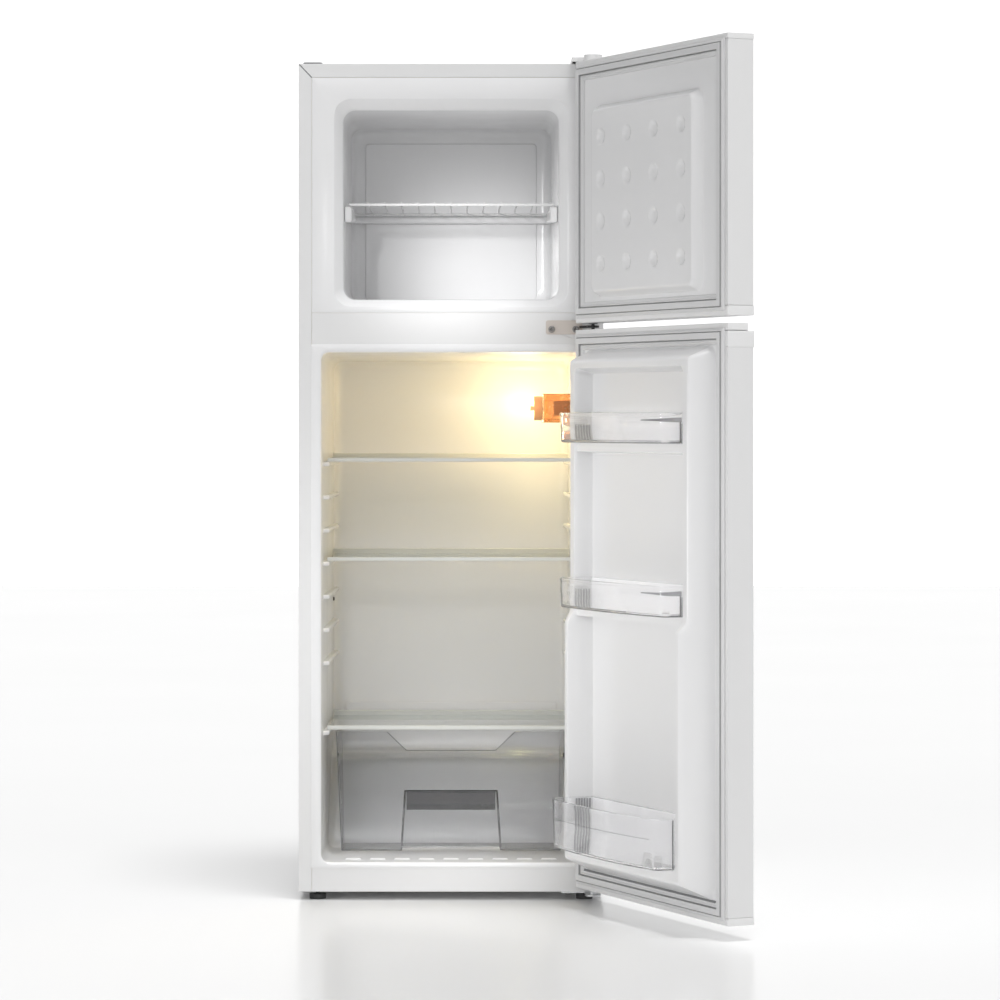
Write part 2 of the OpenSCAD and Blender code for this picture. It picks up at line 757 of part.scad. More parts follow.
module bottom_hinge_bracket() color("silver") difference() {
    union() {
        block([half_w - 75, 3, foot_h - bracket_t], [half_w - 4, 52, foot_h]);
        block([half_w - 34, hinge_y, foot_h - bracket_t], [half_w - 6, 4, foot_h]);
        hinge_cylinder(foot_h - bracket_t, foot_h, 14);
        hinge_cylinder(foot_h - 1, fr_door_z0 - washer_t - 0.1, 6);
        hinge_cylinder(foot_h - 1, fr_door_z0 + fr_cap_low - 2, pin_r);
    }
    translate([foot_x, foot_y, 0]) cylinder(h = 30, r = stud_r + 0.5);
    for (p = bottom_screws) translate([p[0], p[1], foot_h - 5]) cylinder(h = 10, r = 2.6);
}

// Screw with a round head; it points along +Z
module screw(r, length) {
    cylinder(h = length, r = r);
    translate([0, 0, -3]) difference() {
        cylinder(h = 3, r = 2.4 * r);
        for (a = [0, 90]) rotate([0, 0, a]) translate([-0.5, -3.5, -1]) cube([1, 7, 2.4]);
    }
}

module hinge_screws() color("silver") {
    for (x = middle_screws) translate([x, -2.5, middle_screw_z]) rotate([-90, 0, 0]) screw(screw_r, screw_l);
    for (p = bottom_screws) translate([p[0], p[1], foot_h - bracket_t]) screw(screw_r, screw_l);
    for (p = top_screws) translate([p[0], p[1], cab_h + washer_t + bracket_t]) mirror([0, 0, 1])
        screw(top_screw_r, screw_l);
}

// ---------- Lamp, thermostat and light switch ----------

module lamp_base() color("white") {
    along_z(lamp_z0 + 3, lamp_z1 - 3) polygon([
        [wall_x(lamp_y0) - 7, lamp_y0 + 14], [wall_x(lamp_y0 + 14) - 0.3, lamp_y0 + 14],
        [wall_x(lamp_y1) - 0.3, lamp_y1 - 3], [wall_x(lamp_y1) - 7, lamp_y1 - 3]
    ]);
    block([188, bulb_y - 20, knob_z - 14], [224, bulb_y - 2, knob_z + 14]);
    block([180, knob_y - 18, knob_z - 18], [222, knob_y + 18, knob_z + 18]);
    translate([lamp_x0 - knob_t + 3, knob_y, knob_z]) rotate([0, 90, 0]) cylinder(h = 30, r = pin_r);
}

module lamp_housing() color("orange") difference() {
    along_x(lamp_x0, wall_x(lamp_y1) - 0.6) polygon([
        [lamp_y0, lamp_z0 + 6], [lamp_y0 + 8, lamp_z0], [lamp_y1, lamp_z0], [lamp_y1, lamp_z1],
        [lamp_y0 + 12, lamp_z1], [lamp_y0, lamp_z1 - 12]
    ]);
    along_x(lamp_x0 + housing_t, half_w) polygon([
        [lamp_y0 + housing_t, lamp_z0 + 7], [lamp_y0 + 9, lamp_z0 + housing_t],
        [lamp_y1 - housing_t, lamp_z0 + housing_t], [lamp_y1 - housing_t, lamp_z1 - housing_t],
        [lamp_y0 + 13, lamp_z1 - housing_t], [lamp_y0 + housing_t, lamp_z1 - 13]
    ]);
    translate([lamp_x0 - 1, knob_y, knob_z]) rotate([0, 90, 0]) cylinder(h = 5, r = pin_r + 0.6);
    // Vents over the bulb
    for (i = [0 : vent_count - 1]) {
        y = bulb_y + 8 + i * vent_pitch;
        block([lamp_x0 + 8, y, lamp_z1 - 3], [wall_x(lamp_y1) - 12, y + vent_w, lamp_z1 + 1]);
    }
}

module lamp_bulb() color("lightyellow") {
    translate([bulb_x, bulb_y - 1.9, knob_z]) rotate([-90, 0, 0]) {
        cylinder(h = 14, r = bulb_r / 2);
        translate([0, 0, 13]) cylinder(h = 12, r1 = bulb_r / 2, r2 = bulb_r - 1);
        translate([0, 0, 30]) sphere(bulb_r);
    }
}

module thermostat_knob() color("white") {
    translate([lamp_x0 - knob_t - 0.5, knob_y, knob_z]) rotate([0, 90, 0]) difference() {
        union() {
            cylinder(h = knob_t, r = knob_r);
            translate([-4, -knob_r + 3, -7]) cube([8, 2 * knob_r - 6, 8]);
        }
        translate([0, 0, 2]) cylinder(h = knob_t, r = pin_r + fit);
    }
}

module door_switch_body() color("white") difference() {
    block([wall_x(switch_y) + 3, switch_y - 10, switch_z - 15], [half_w - 16, switch_y + 10, switch_z + 15]);
    translate([0, switch_y, switch_z]) rotate([0, 90, 0]) cylinder(h = half_w - 20, r = button_r + fit);
}

module door_switch_button() color("white") {
    translate([button_x, switch_y, switch_z]) rotate([0, 90, 0]) cylinder(h = 20, r = button_r);
}

// ---------- Doors ----------

// Steel pan: front, two sides and a narrow return along each side of the inner face
module door_skin(z0, z1) {
    difference() {
        block([-half_w, out_y, z0], [half_w, in_y, z1]);
        block([-half_w + steel, out_y + steel, z0 - 1], [half_w - steel, in_y - steel, z1 + 1]);
        block([-half_w + return_w, in_y - 5, z0 - 1], [half_w - return_w, in_y + 1, z1 + 1]);
    }
}

module gasket(z0, z1) {
    module ring(y0, y1, outer, inner) {
        along_y(y0, y1) difference() {
            translate([-half_w + outer, z0 + outer]) square([cab_w - 2 * outer, z1 - z0 - 2 * outer]);
            translate([-half_w + inner, z0 + inner]) square([cab_w - 2 * inner, z1 - z0 - 2 * inner]);
        }
    }
    ring(in_y + 0.05, in_y + 4, gasket_out, gasket_in);
    ring(in_y + 3.9, in_y + gasket_h, gasket_out + 6, gasket_in - 4);
}

// Bush whose flange is the washer at z, and whose body points up (up = true) or down
module bush(z, length, up) {
    difference() {
        union() {
            hinge_cylinder(up ? z : z - length, up ? z + length : z, bush_r);
            hinge_cylinder(up ? z - washer_t + 0.2 : z, up ? z : z + washer_t - 0.2, bush_flange_r);
        }
        hinge_cylinder(z - length - 5, z + length + 5, pin_r + fit);
    }
}

// A solid end cap with the bore for its bush
module door_cap(z0, z1) {
    difference() {
        block([-half_w, out_y - cap_proud, z0], [half_w, in_y, z1]);
        hinge_cylinder(z0 - 1, z1 + 1, bush_r + fit);
    }
}

module dimples(r) {
    centre_y = in_y + plateau_h - dimple_depth + dimple_r;
    mid_z = (plateau_z0 + plateau_z1) / 2;
    for (i = [-1.5 : 1.5], j = [-1.5 : 1.5])
        translate([i * dimple_pitch_x, centre_y, mid_z + j * dimple_pitch_z])
            sphere(r);
}

// Raised panel of the freezer door, shrunk by e
module plateau(e) {
    difference() {
        intersection() {
            along_z(plateau_z0, plateau_z1) polygon([
                [-plateau_w + e, in_y - root_d], [plateau_w - e, in_y - root_d], [plateau_w - e, in_y],
                [plateau_w - plateau_slope - e, in_y + plateau_h - e],
                [-plateau_w + plateau_slope + e, in_y + plateau_h - e], [-plateau_w + e, in_y]
            ]);
            along_x(-half_w, half_w) polygon([
                [in_y - root_d, plateau_z0 + e], [in_y, plateau_z0 + e],
                [in_y + plateau_h - e, plateau_z0 + plateau_slope + e],
                [in_y + plateau_h - e, plateau_z1 - plateau_slope - e],
                [in_y, plateau_z1 - e], [in_y - root_d, plateau_z1 - e]
            ]);
            along_y(in_y - root_d, in_y + plateau_h)
                rounded(-plateau_w + e, plateau_z0 + e, plateau_w - e, plateau_z1 - e, plateau_r);
        }
        dimples(dimple_r + e);
    }
}

module freezer_door_skin() color("white") swung_open()
    door_skin(fz_door_z0 + fz_cap_low, fz_door_z1 - fz_cap_top);

module freezer_door_liner() color("whitesmoke") swung_open() difference() {
    union() {
        block([-half_w + return_w + 0.1, in_y - door_liner_t, fz_door_z0 + fz_cap_low + 0.1],
              [half_w - return_w - 0.1, in_y, fz_door_z1 - fz_cap_top - 0.1]);
        intersection() {
            plateau(0);
            block([-half_w, in_y - door_liner_t, 0], [half_w, in_y + 100, cab_h]);
        }
    }
    plateau(door_liner_t);
}

module freezer_door_foam() color("khaki") swung_open() {
    block([-half_w + steel + 0.3, out_y + steel + 0.3, fz_door_z0 + fz_cap_low + 0.3],
          [half_w - steel - 0.3, in_y - door_liner_t - 0.8, fz_door_z1 - fz_cap_top - 0.3]);
    plateau(door_liner_t + foam_gap);
}

module freezer_door_gasket() color("lightgray") swung_open() gasket(fz_door_z0, fz_door_z1);
module freezer_door_top_cap() color("white") swung_open() door_cap(fz_door_z1 - fz_cap_top, fz_door_z1);
module freezer_door_bottom_cap() color("white") swung_open() door_cap(fz_door_z0, fz_door_z0 + fz_cap_low);

module freezer_door_bushes() color("gray") swung_open() {
    bush(fz_door_z1, fz_cap_top, false);
    bush(fz_door_z0, fz_cap_low - 1, true);
}

// Raised frame of the fridge door, shrunk by e
module dyke_solid(e) {
    intersection() {
        along_z(fr_door_z0, fr_door_z1) polygon([
            [-dyke_foot + e, in_y - root_d], [dyke_foot - e, in_y - root_d], [dyke_foot - e, in_y],
            [dyke_crest - e, in_y + dyke_low_h], [-dyke_crest + e, in_y + dyke_low_h], [-dyke_foot + e, in_y]
        ]);
        along_x(-half_w, half_w) polygon([
            [in_y - root_d, dyke_z0 + e], [in_y, dyke_z0 + e],
            [in_y + dyke_low_h - e, dyke_z0 + dyke_low_run + e],
            [in_y + dyke_low_h - e, dyke_step_z0], [in_y + dyke_high_h - e, dyke_step_z1],
            [in_y + dyke_high_h - e, dyke_top_z - e], [in_y, dyke_top_z + dyke_top_run - e],
            [in_y - root_d, dyke_top_z + dyke_top_run - e]
        ]);
        along_y(in_y - root_d, in_y + dyke_low_h)
            rounded(-dyke_foot + e, dyke_z0 + e, dyke_foot - e, dyke_top_z + dyke_top_run - e, dyke_r);
    }
}

// Hollow in the raised frame where the bins hang, grown by e
module dyke_pocket(e) {
    intersection() {
        along_z(fr_door_z0, fr_door_z1) polygon([
            [-pocket_floor_w - e, in_y + bay_floor_h - e], [pocket_floor_w + e, in_y + bay_floor_h - e],
            [pocket_w + e, in_y + dyke_high_h], [pocket_w + e, 100], [-pocket_w - e, 100],
            [-pocket_w - e, in_y + dyke_high_h]
        ]);
        along_x(-half_w, half_w) polygon([
            [in_y + bay_floor_h - e, pocket_z0 - e], [100, pocket_z0 - e],
            [100, pocket_z1 + e], [in_y + bay_floor_h - e, pocket_z1 + e]
        ]);
    }
}

module fridge_door_skin() color("white") swung_open()
    door_skin(fr_door_z0 + fr_cap_low, fr_door_z1 - fr_cap_top);

module fridge_door_liner() color("whitesmoke") swung_open() {
    difference() {
        union() {
            block([-half_w + return_w + 0.1, in_y - door_liner_t, fr_door_z0 + fr_cap_low + 0.1],
                  [half_w - return_w - 0.1, in_y, fr_door_z1 - fr_cap_lip - 0.1]);
            intersection() {
                dyke_solid(0);
                block([-half_w, in_y - door_liner_t, 0], [half_w, in_y + 100, cab_h]);
            }
        }
        dyke_pocket(0);
        difference() {
            dyke_solid(door_liner_t);
            dyke_pocket(door_liner_t);
        }
    }
    // Ledges under the upper and middle bins
    for (z = [upper_bin_z, middle_bin_z])
        block([-pocket_floor_w - 0.5, in_y + bay_floor_h - 1, z - bin_ledge_h],
              [pocket_floor_w + 0.5, in_y + bin_ledge_out, z]);
}

module fridge_door_foam() color("khaki") swung_open() {
    block([-half_w + steel + 0.3, out_y + steel + 0.3, fr_door_z0 + fr_cap_low + 0.3],
          [half_w - steel - 0.3, in_y - door_liner_t - 0.8, fr_door_z1 - fr_cap_top - 0.3]);
    block([-half_w + return_w + 1, out_y + 4, fr_door_z1 - fr_cap_top - 1],
          [half_w - return_w - 1, in_y - door_liner_t - 0.8, fr_door_z1 - grip_step - 4]);
    difference() {
        dyke_solid(door_liner_t + foam_gap);
        dyke_pocket(door_liner_t + foam_gap);
    }
}

module fridge_door_gasket() color("lightgray") swung_open() gasket(fr_door_z0, fr_door_z1);
module fridge_door_bottom_cap() color("white") swung_open() door_cap(fr_door_z0, fr_door_z0 + fr_cap_low);

// Tall top cap. Its outer edge is stepped down as a finger grip.
module fridge_door_top_cap() color("white") swung_open() difference() {
    front = out_y - cap_proud;
    z0 = fr_door_z1 - fr_cap_top;
    z1 = fr_door_z1;
    union() {
        along_x(-half_w, half_w) polygon([
            [front, z0], [front, z1 - grip_step], [out_y + grip_d, z1 - grip_step], [out_y + grip_d, z1],
            [in_y, z1], [in_y, z1 - fr_cap_lip], [out_y + grip_d + 3, z1 - fr_cap_lip],
            [out_y + grip_d + 3, z1 - grip_step - 3], [out_y + 3, z1 - grip_step - 3], [out_y + 3, z0]
        ]);
        for (s = [-1, 1]) block([s > 0 ? half_w - return_w : -half_w, out_y, z0],
                                [s > 0 ? half_w : -half_w + return_w, in_y, z1 - grip_step]);
    }
    hinge_cylinder(z1 - fr_cap_lip - 30, z1 + 1, bush_r + fit);
}

module fridge_door_bushes() color("gray") swung_open() {
    bush(fr_door_z1, fr_cap_lip, false);
    bush(fr_door_z0, fr_cap_low - 1, true);
}

// ---------- Door bins ----------

// Outline of a bin seen from above, shrunk by e. The front is bowed.
module bin_outline(front_y, bow, e) {
    half = pocket_w - 1;
    bend_y = in_y + dyke_high_h;
    apex = front_y + bow - e;
    radius = arc_radius(half, bow);
    intersection() {
        polygon([
            [-pocket_floor_w + 0.8 + e, in_y + bay_floor_h + 1 + e],
            [pocket_floor_w - 0.8 - e, in_y + bay_floor_h + 1 + e],
            [half - e, bend_y], [half - e, apex + 5], [-half + e, apex + 5], [-half + e, bend_y]
        ]);
        translate([0, apex - radius]) circle(radius, $fn = 720);
    }
}

module door_bin(z, height, front_y, bow, slotted) {
    difference() {
        along_z(z + bin_gap, z + height) bin_outline(front_y, bow, 0);
        along_z(z + bin_gap + bin_wall, z + height + 1) bin_outline(front_y, bow, bin_wall);
        if (slotted) block([-half_w, in_y + bay_floor_h + 10, z + height - slot_top - slot_h],
                           [half_w, front_y - 4, z + height - slot_top]);
    }
}

module upper_door_bin() color("aliceblue") swung_open()
    door_bin(upper_bin_z, bin_h, bin_front_y, bin_bow, true);

module middle_door_bin() color("aliceblue") swung_open()
    door_bin(middle_bin_z, bin_h, bin_front_y, bin_bow, true);

module lower_door_bin() color("aliceblue") swung_open()
    door_bin(lower_bin_z, lower_bin_h, lower_bin_front_y, lower_bin_bow, false);

// ---------- Shelves and crisper ----------

module freezer_wire_shelf() color("white") {
    for (y = [wire_front_y, wire_rear_y])
        rod([-wire_side_x, y, wire_z], [wire_side_x, y, wire_z], wire_rail_r);
    for (s = [-1, 1]) rod([s * wire_side_x, wire_front_y, wire_z], [s * wire_side_x, wire_rear_y, wire_z],
                          wire_rail_r);
    for (s = [-1, 1], y = [wire_front_y, wire_rear_y])
        translate([s * wire_side_x, y, wire_z]) sphere(wire_rail_r);
    // Wires from front to rear
    top_z = wire_z + wire_rail_r + cross_wire_r - weld_sink;
    for (i = [-5 : 5])
        rod([i * wire_pitch_x, wire_front_y - wire_overhang, top_z],
            [i * wire_pitch_x, wire_rear_y + wire_overhang, top_z], cross_wire_r);
}

module shelf_glass(z) {
    block([-glass_half_w, shelf_y0 + 3, z + 0.3], [glass_half_w, shelf_y1 - 3, z + 0.3 + glass_t]);
}

// Front and rear trims that grip the glass
module shelf_trim(z, h) {
    module strip(half, y0, y1, height) {
        difference() {
            along_x(-half, half) rounded(y0, z + 0.3, y1, z + 0.3 + height, 1.5);
            block([-glass_half_w - 0.1, shelf_y0 + 2.9, z + 0.3],
                  [glass_half_w + 0.1, shelf_y1 - 2.9, z + 0.35 + glass_t]);
        }
    }
    strip(shelf_half_w, shelf_y0, shelf_y0 + trim_w, h);
    strip(glass_half_w + 1.5, shelf_y1 - 10, shelf_y1, h + trim_rise);
}

module upper_shelf_glass() color("azure") shelf_glass(ledge_z(0));
module upper_shelf_trim() color("white") shelf_trim(ledge_z(0), trim_h);
module lower_shelf_glass() color("azure") shelf_glass(ledge_z(lower_shelf_ledge));
module lower_shelf_trim() color("white") shelf_trim(ledge_z(lower_shelf_ledge), trim_h);
module crisper_cover_glass() color("azure") shelf_glass(cover_z);
module crisper_cover_trim() color("white") shelf_trim(cover_z, trim_h);

// Outside of the drawer, shrunk by e and left open above
module drawer_body(e, top) {
    intersection() {
        along_y(drawer_y0 + e, drawer_y1 - e) polygon([
            [-drawer_low_w + e, drawer_z0 + e], [drawer_low_w - e, drawer_z0 + e],
            [drawer_top_w - e, top], [-drawer_top_w + e, top]
        ]);
        along_x(-half_w, half_w) polygon([
            [drawer_y0 + e, drawer_z0 + e], [hump_y0 - 2 - e / 2, drawer_z0 + e],
            [hump_y1 - 12 - e / 2, hump_z + 4 + e], [drawer_y1 - e, hump_z + 20 + e],
            [drawer_y1 - e, top], [drawer_y0 + e, top]
        ]);
    }
}

// Hand recess in the bottom of the drawer's front, grown by e
module drawer_pull(e) {
    intersection() {
        along_y(drawer_y0 - 1, drawer_y0 + pull_d + e) polygon([
            [-pull_low_w - e, drawer_z0 - 1], [pull_low_w + e, drawer_z0 - 1],
            [pull_top_w + e, pull_z + e], [-pull_top_w - e, pull_z + e]
        ]);
        along_x(-half_w, half_w) polygon([
            [drawer_y0 - 1, drawer_z0 - 1], [drawer_y0 + pull_d + e, drawer_z0 - 1],
            [drawer_y0 + pull_d + e, pull_z - pull_drop + e], [drawer_y0 + 4, pull_z + e],
            [drawer_y0 - 1, pull_z + e]
        ]);
    }
}

module crisper_drawer() color("silver") difference() {
    union() {
        difference() {
            drawer_body(0, drawer_z1);
            drawer_body(drawer_wall, drawer_z1 + 1);
        }
        intersection() {
            drawer_pull(drawer_wall);
            drawer_body(0, drawer_z1);
        }
    }
    drawer_pull(0);
    // Hand notch in the top of the front
    along_y(drawer_y0 - 2, drawer_y0 + 8) polygon([
        [-notch_top_w, drawer_z1 + 1], [-notch_low_w, drawer_z1 - notch_h],
        [notch_low_w, drawer_z1 - notch_h], [notch_top_w, drawer_z1 + 1]
    ]);
}

outer_shell();
back_panel();
base_pan();
compressor_carrier();
centre_rail();
freezer_liner();
fridge_liner();
cabinet_foam();
evaporators();
drain_tube();
drip_tray();
compressor();
compressor_grommets();
compressor_bolts();
relay_cover();
condenser();
filter_drier();
refrigerant_pipes();
power_gland();
top_hinge_bracket();
top_hinge_cover();
hinge_hole_cover();
middle_hinge_bracket();
bottom_hinge_bracket();
hinge_screws();
lamp_base();
lamp_housing();
lamp_bulb();
thermostat_knob();
door_switch_body();
door_switch_button();
freezer_door_skin();
freezer_door_liner();
freezer_door_foam();
freezer_door_gasket();
freezer_door_top_cap();
freezer_door_bottom_cap();
freezer_door_bushes();
fridge_door_skin();
fridge_door_liner();
fridge_door_foam();
fridge_door_gasket();
fridge_door_top_cap();
fridge_door_bottom_cap();
fridge_door_bushes();
freezer_wire_shelf();
upper_shelf_glass();
upper_shelf_trim();
lower_shelf_glass();
lower_shelf_trim();
crisper_cover_glass();
crisper_cover_trim();
crisper_drawer();
upper_door_bin();
middle_door_bin();
lower_door_bin();
front_foot_left();
front_foot_right();
rear_roller_left();
rear_roller_right();
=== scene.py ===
"""Looks of a top freezer refrigerator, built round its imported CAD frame.

Everything is in metres in the CAD's own frame: X to the right, Y into the cabinet, Z up, with the
origin on the floor below the middle of the cabinet's front. The doors stand open in the frame. Pieces
that belong to a door are drawn with the door shut and then swung open about its hinge pin.
"""
import json
import math

import bmesh
import bpy
from mathutils import Matrix, Vector


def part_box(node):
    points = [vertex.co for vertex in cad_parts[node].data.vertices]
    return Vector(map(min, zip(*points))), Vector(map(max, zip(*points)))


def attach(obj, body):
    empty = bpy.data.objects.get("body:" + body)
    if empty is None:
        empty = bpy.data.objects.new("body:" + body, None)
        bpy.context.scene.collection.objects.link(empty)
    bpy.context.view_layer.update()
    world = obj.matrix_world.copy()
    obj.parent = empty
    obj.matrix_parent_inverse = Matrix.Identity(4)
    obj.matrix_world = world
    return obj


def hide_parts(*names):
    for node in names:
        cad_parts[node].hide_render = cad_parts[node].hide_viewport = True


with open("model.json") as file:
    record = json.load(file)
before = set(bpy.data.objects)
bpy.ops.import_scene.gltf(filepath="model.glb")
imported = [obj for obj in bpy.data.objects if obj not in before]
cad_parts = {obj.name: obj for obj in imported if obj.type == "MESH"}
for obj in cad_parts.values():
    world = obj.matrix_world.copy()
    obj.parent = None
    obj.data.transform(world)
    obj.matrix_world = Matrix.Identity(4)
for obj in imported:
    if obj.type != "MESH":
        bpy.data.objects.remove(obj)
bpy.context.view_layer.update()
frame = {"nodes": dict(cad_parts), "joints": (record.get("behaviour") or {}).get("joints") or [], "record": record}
scene = bpy.context.scene
nodes = frame["nodes"]
joints = {j["name"]: j for j in frame["joints"]}

# ---------- Sizes taken from the frame ----------

SHELL_LO, SHELL_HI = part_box("outer_shell")
HALF_W = SHELL_HI.x
TOP_Z = SHELL_HI.z
RAIL_LO, RAIL_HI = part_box("centre_rail")
FREEZER_FLANGE_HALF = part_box("freezer_liner")[1].x
HINGE = Vector(joints["freezer_door_hinge"]["pos_m"])
DOOR_ANGLE = math.radians(-joints["freezer_door_hinge"]["range_deg"][0])
SWING = (
    Matrix.Translation((HINGE.x, HINGE.y, 0))
    @ Matrix.Rotation(DOOR_ANGLE, 4, "Z")
    @ Matrix.Translation((-HINGE.x, -HINGE.y, 0))
)

# Freezer compartment: the mouth, the end of its bevelled lip and the back wall
FREEZER_MOUTH = dict(half=0.2073, z0=RAIL_HI.z + 0.0129, z1=TOP_Z - 0.0646, r=0.028)
FREEZER_LIP = dict(half=0.1930, z0=FREEZER_MOUTH["z0"] + 0.0117, z1=FREEZER_MOUTH["z1"] - 0.0174, r=0.022)
FREEZER_LIP_Y = 0.020
FREEZER_BACK_Y = 0.400
FREEZER_DRAFT = 0.004
WIRE_SHELF_Z = (FREEZER_MOUTH["z0"] + FREEZER_MOUTH["z1"]) / 2

# Fridge compartment
FRIDGE_MOUTH = dict(half=0.2333, z0=SHELL_LO.z + 0.0506, z1=RAIL_LO.z - 0.012, r=0.016)
FRIDGE_BACK_Y = 0.430
FRIDGE_DRAFT = 0.0093
FRIDGE_CEILING_DROP = 0.010
HUMP_START_Y = 0.214
HUMP_END_Y = 0.335
HUMP_HEIGHT = 0.152
LEDGE_PITCH = 0.060
LEDGE_COUNT = 7
LEDGE_TOP_Z = FRIDGE_MOUTH["z1"] - 0.1982
COVER_LEDGE_Z = FRIDGE_MOUTH["z0"] + 0.2306

# Doors, shut
DOOR_IN_Y = -0.009
RETURN_W = 0.0116
LINER_HALF = HALF_W - RETURN_W
FREEZER_DOOR = dict(
    z0=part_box("freezer_door_bottom_cap")[0].z, z1=TOP_Z, cap_low=0.017, cap_top=0.010
)
FRIDGE_DOOR = dict(
    z0=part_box("fridge_door_bottom_cap")[0].z, z1=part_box("fridge_door_top_cap")[1].z,
    cap_low=0.013, cap_top=0.012,
)

# ---------- Materials ----------

NOISE_LOW = 0.3
NOISE_HIGH = 0.7
GLOSS_SPREAD = 0.015


def node_material(name):
    mat = bpy.data.materials.new(name)
    mat.use_nodes = True
    tree = mat.node_tree
    return mat, tree, tree.nodes["Principled BSDF"]


def noise(tree, scale, detail=2.0):
    """Noise in the object's own metres."""
    coords = tree.nodes.new("ShaderNodeTexCoord")
    tex = tree.nodes.new("ShaderNodeTexNoise")
    tex.inputs["Scale"].default_value = scale
    tex.inputs["Detail"].default_value = detail
    tree.links.new(coords.outputs["Object"], tex.inputs["Vector"])
    return tex.outputs["Fac"]


def ramp(tree, fac, low, high, start=NOISE_LOW, end=NOISE_HIGH):
    """Blend from one colour to another, by default over the range that a noise really covers."""
    node = tree.nodes.new("ShaderNodeValToRGB")
    for element, at, colour in zip(node.color_ramp.elements, (start, end), (low, high)):
        element.position = at
        element.color = (*colour, 1)
    tree.links.new(fac, node.inputs["Fac"])
    return node.outputs["Color"]


def spread(tree, fac, low, high, start=NOISE_LOW, end=NOISE_HIGH):
    """Value that runs from low to high, by default over the range that a noise really covers."""
    node = tree.nodes.new("ShaderNodeMapRange")
    node.inputs["From Min"].default_value = start
    node.inputs["From Max"].default_value = end
    node.inputs["To Min"].default_value = low
    node.inputs["To Max"].default_value = high
    tree.links.new(fac, node.inputs["Value"])
    return node.outputs["Result"]


def shade(colour, factor):
    return tuple(min(1.0, c * factor) for c in colour)


def drifting(tree, blotch, detail, colour, variation):
    """Colour that gets a little darker and lighter in slow blotches."""
    fac = noise(tree, blotch, detail)
    return ramp(tree, fac, shade(colour, 1 - variation), shade(colour, 1 + variation))


def surface(name, colour, rough, variation, blotch, grain, bump, metallic=0.0, bump_distance=0.0002):
    """Principled surface whose colour drifts slowly, whose gloss is uneven and which has a fine grain."""
    mat, tree, bsdf = node_material(name)
    tree.links.new(drifting(tree, blotch, 4.0, colour, variation), bsdf.inputs["Base Color"])
    gloss = spread(tree, noise(tree, blotch * 5, 3.0), rough - GLOSS_SPREAD, rough + GLOSS_SPREAD)
    tree.links.new(gloss, bsdf.inputs["Roughness"])
    node = tree.nodes.new("ShaderNodeBump")
    node.inputs["Strength"].default_value = bump
    node.inputs["Distance"].default_value = bump_distance
    tree.links.new(noise(tree, grain), node.inputs["Height"])
    tree.links.new(node.outputs["Normal"], bsdf.inputs["Normal"])
    bsdf.inputs["Metallic"].default_value = metallic
    return mat


# Name: colour, roughness, colour variation, scale of the blotches, scale of the grain, strength of
# the grain, then metallic and the grain's depth where they aren't the usual ones
SURFACES = {
    "white_steel": ((0.82, 0.82, 0.82), 0.32, 0.008, 3, 1400, 0.03),
    "liner_plastic": ((0.87, 0.87, 0.875), 0.22, 0.008, 3, 2200, 0.015),
    "white_plastic": ((0.86, 0.86, 0.86), 0.32, 0.01, 4, 2600, 0.04),
    "gasket": ((0.74, 0.74, 0.745), 0.45, 0.02, 6, 1600, 0.06),
    # Dark grey of the gasket's grooves: painted shade of the recesses
    "groove_shade": ((0.42, 0.42, 0.425), 0.6, 0.08, 6, 1600, 0.08),
    "trim_plastic": ((0.70, 0.71, 0.68), 0.30, 0.02, 8, 2200, 0.03),
    # Near black of the fine lines on the drawer and the bins: painted shade for the dark look of clear plastic's
    # edges
    "dark_edge_shade": ((0.09, 0.09, 0.092), 0.4, 0.06, 20, 1800, 0.10),
    "sensor_plastic": ((0.05, 0.05, 0.05), 0.4, 0.1, 20, 1800, 0.1),
    "grey_steel": ((0.50, 0.51, 0.52), 0.42, 0.04, 6, 900, 0.08),
    "zinc_steel": ((0.58, 0.59, 0.60), 0.36, 0.10, 60, 700, 0.10, 1.0),
    "knob_plastic": ((0.70, 0.38, 0.22), 0.35, 0.05, 30, 1800, 0.06),
    "screw_steel": ((0.30, 0.29, 0.28), 0.42, 0.10, 60, 700, 0.10, 0.7),
    "black_steel": ((0.018, 0.018, 0.019), 0.34, 0.2, 20, 900, 0.10),
    "grey_plastic": ((0.22, 0.225, 0.23), 0.45, 0.06, 20, 1800, 0.12),
    "black_plastic": ((0.022, 0.022, 0.023), 0.45, 0.15, 20, 1800, 0.15),
    "black_rubber": ((0.02, 0.02, 0.02), 0.7, 0.2, 40, 1500, 0.2),
    "copper": ((0.80, 0.42, 0.27), 0.30, 0.12, 40, 600, 0.08, 1.0),
    "aluminium": ((0.75, 0.76, 0.78), 0.38, 0.05, 30, 500, 0.1, 1.0),
    "foam": ((0.80, 0.66, 0.36), 0.9, 0.08, 30, 500, 0.5, 0.0, 0.001),
    "coated_wire": ((0.84, 0.84, 0.84), 0.28, 0.02, 40, 1500, 0.05),
}
MATERIALS = {name: surface(name, *look) for name, look in SURFACES.items()}

CLEAR_BLOTCH = 8
CLEAR_ROUGH_SPREAD = 0.03
# Facing values over which the painted grey shade of grazing edges comes in
RIM_START = 0.62
RIM_END = 0.97


def grazing_edge_shade(tree, body, grey):
    """The body's colour, which turns to grey where the surface is seen at a grazing angle: painted shade for the
    dark edges of clear stuff.
    """
    weight = tree.nodes.new("ShaderNodeLayerWeight")
    edge = tree.nodes.new("ShaderNodeMapRange")
    edge.interpolation_type = "SMOOTHSTEP"
    edge.inputs["From Min"].default_value = RIM_START
    edge.inputs["From Max"].default_value = RIM_END
    tree.links.new(weight.outputs["Facing"], edge.inputs["Value"])
    tint = tree.nodes.new("ShaderNodeMix")
    tint.data_type = "RGBA"
    tint.inputs[7].default_value = (grey, grey, grey, 1)
    tree.links.new(edge.outputs["Result"], tint.inputs["Factor"])
    tree.links.new(body, tint.inputs[6])
    return tint.outputs[2]


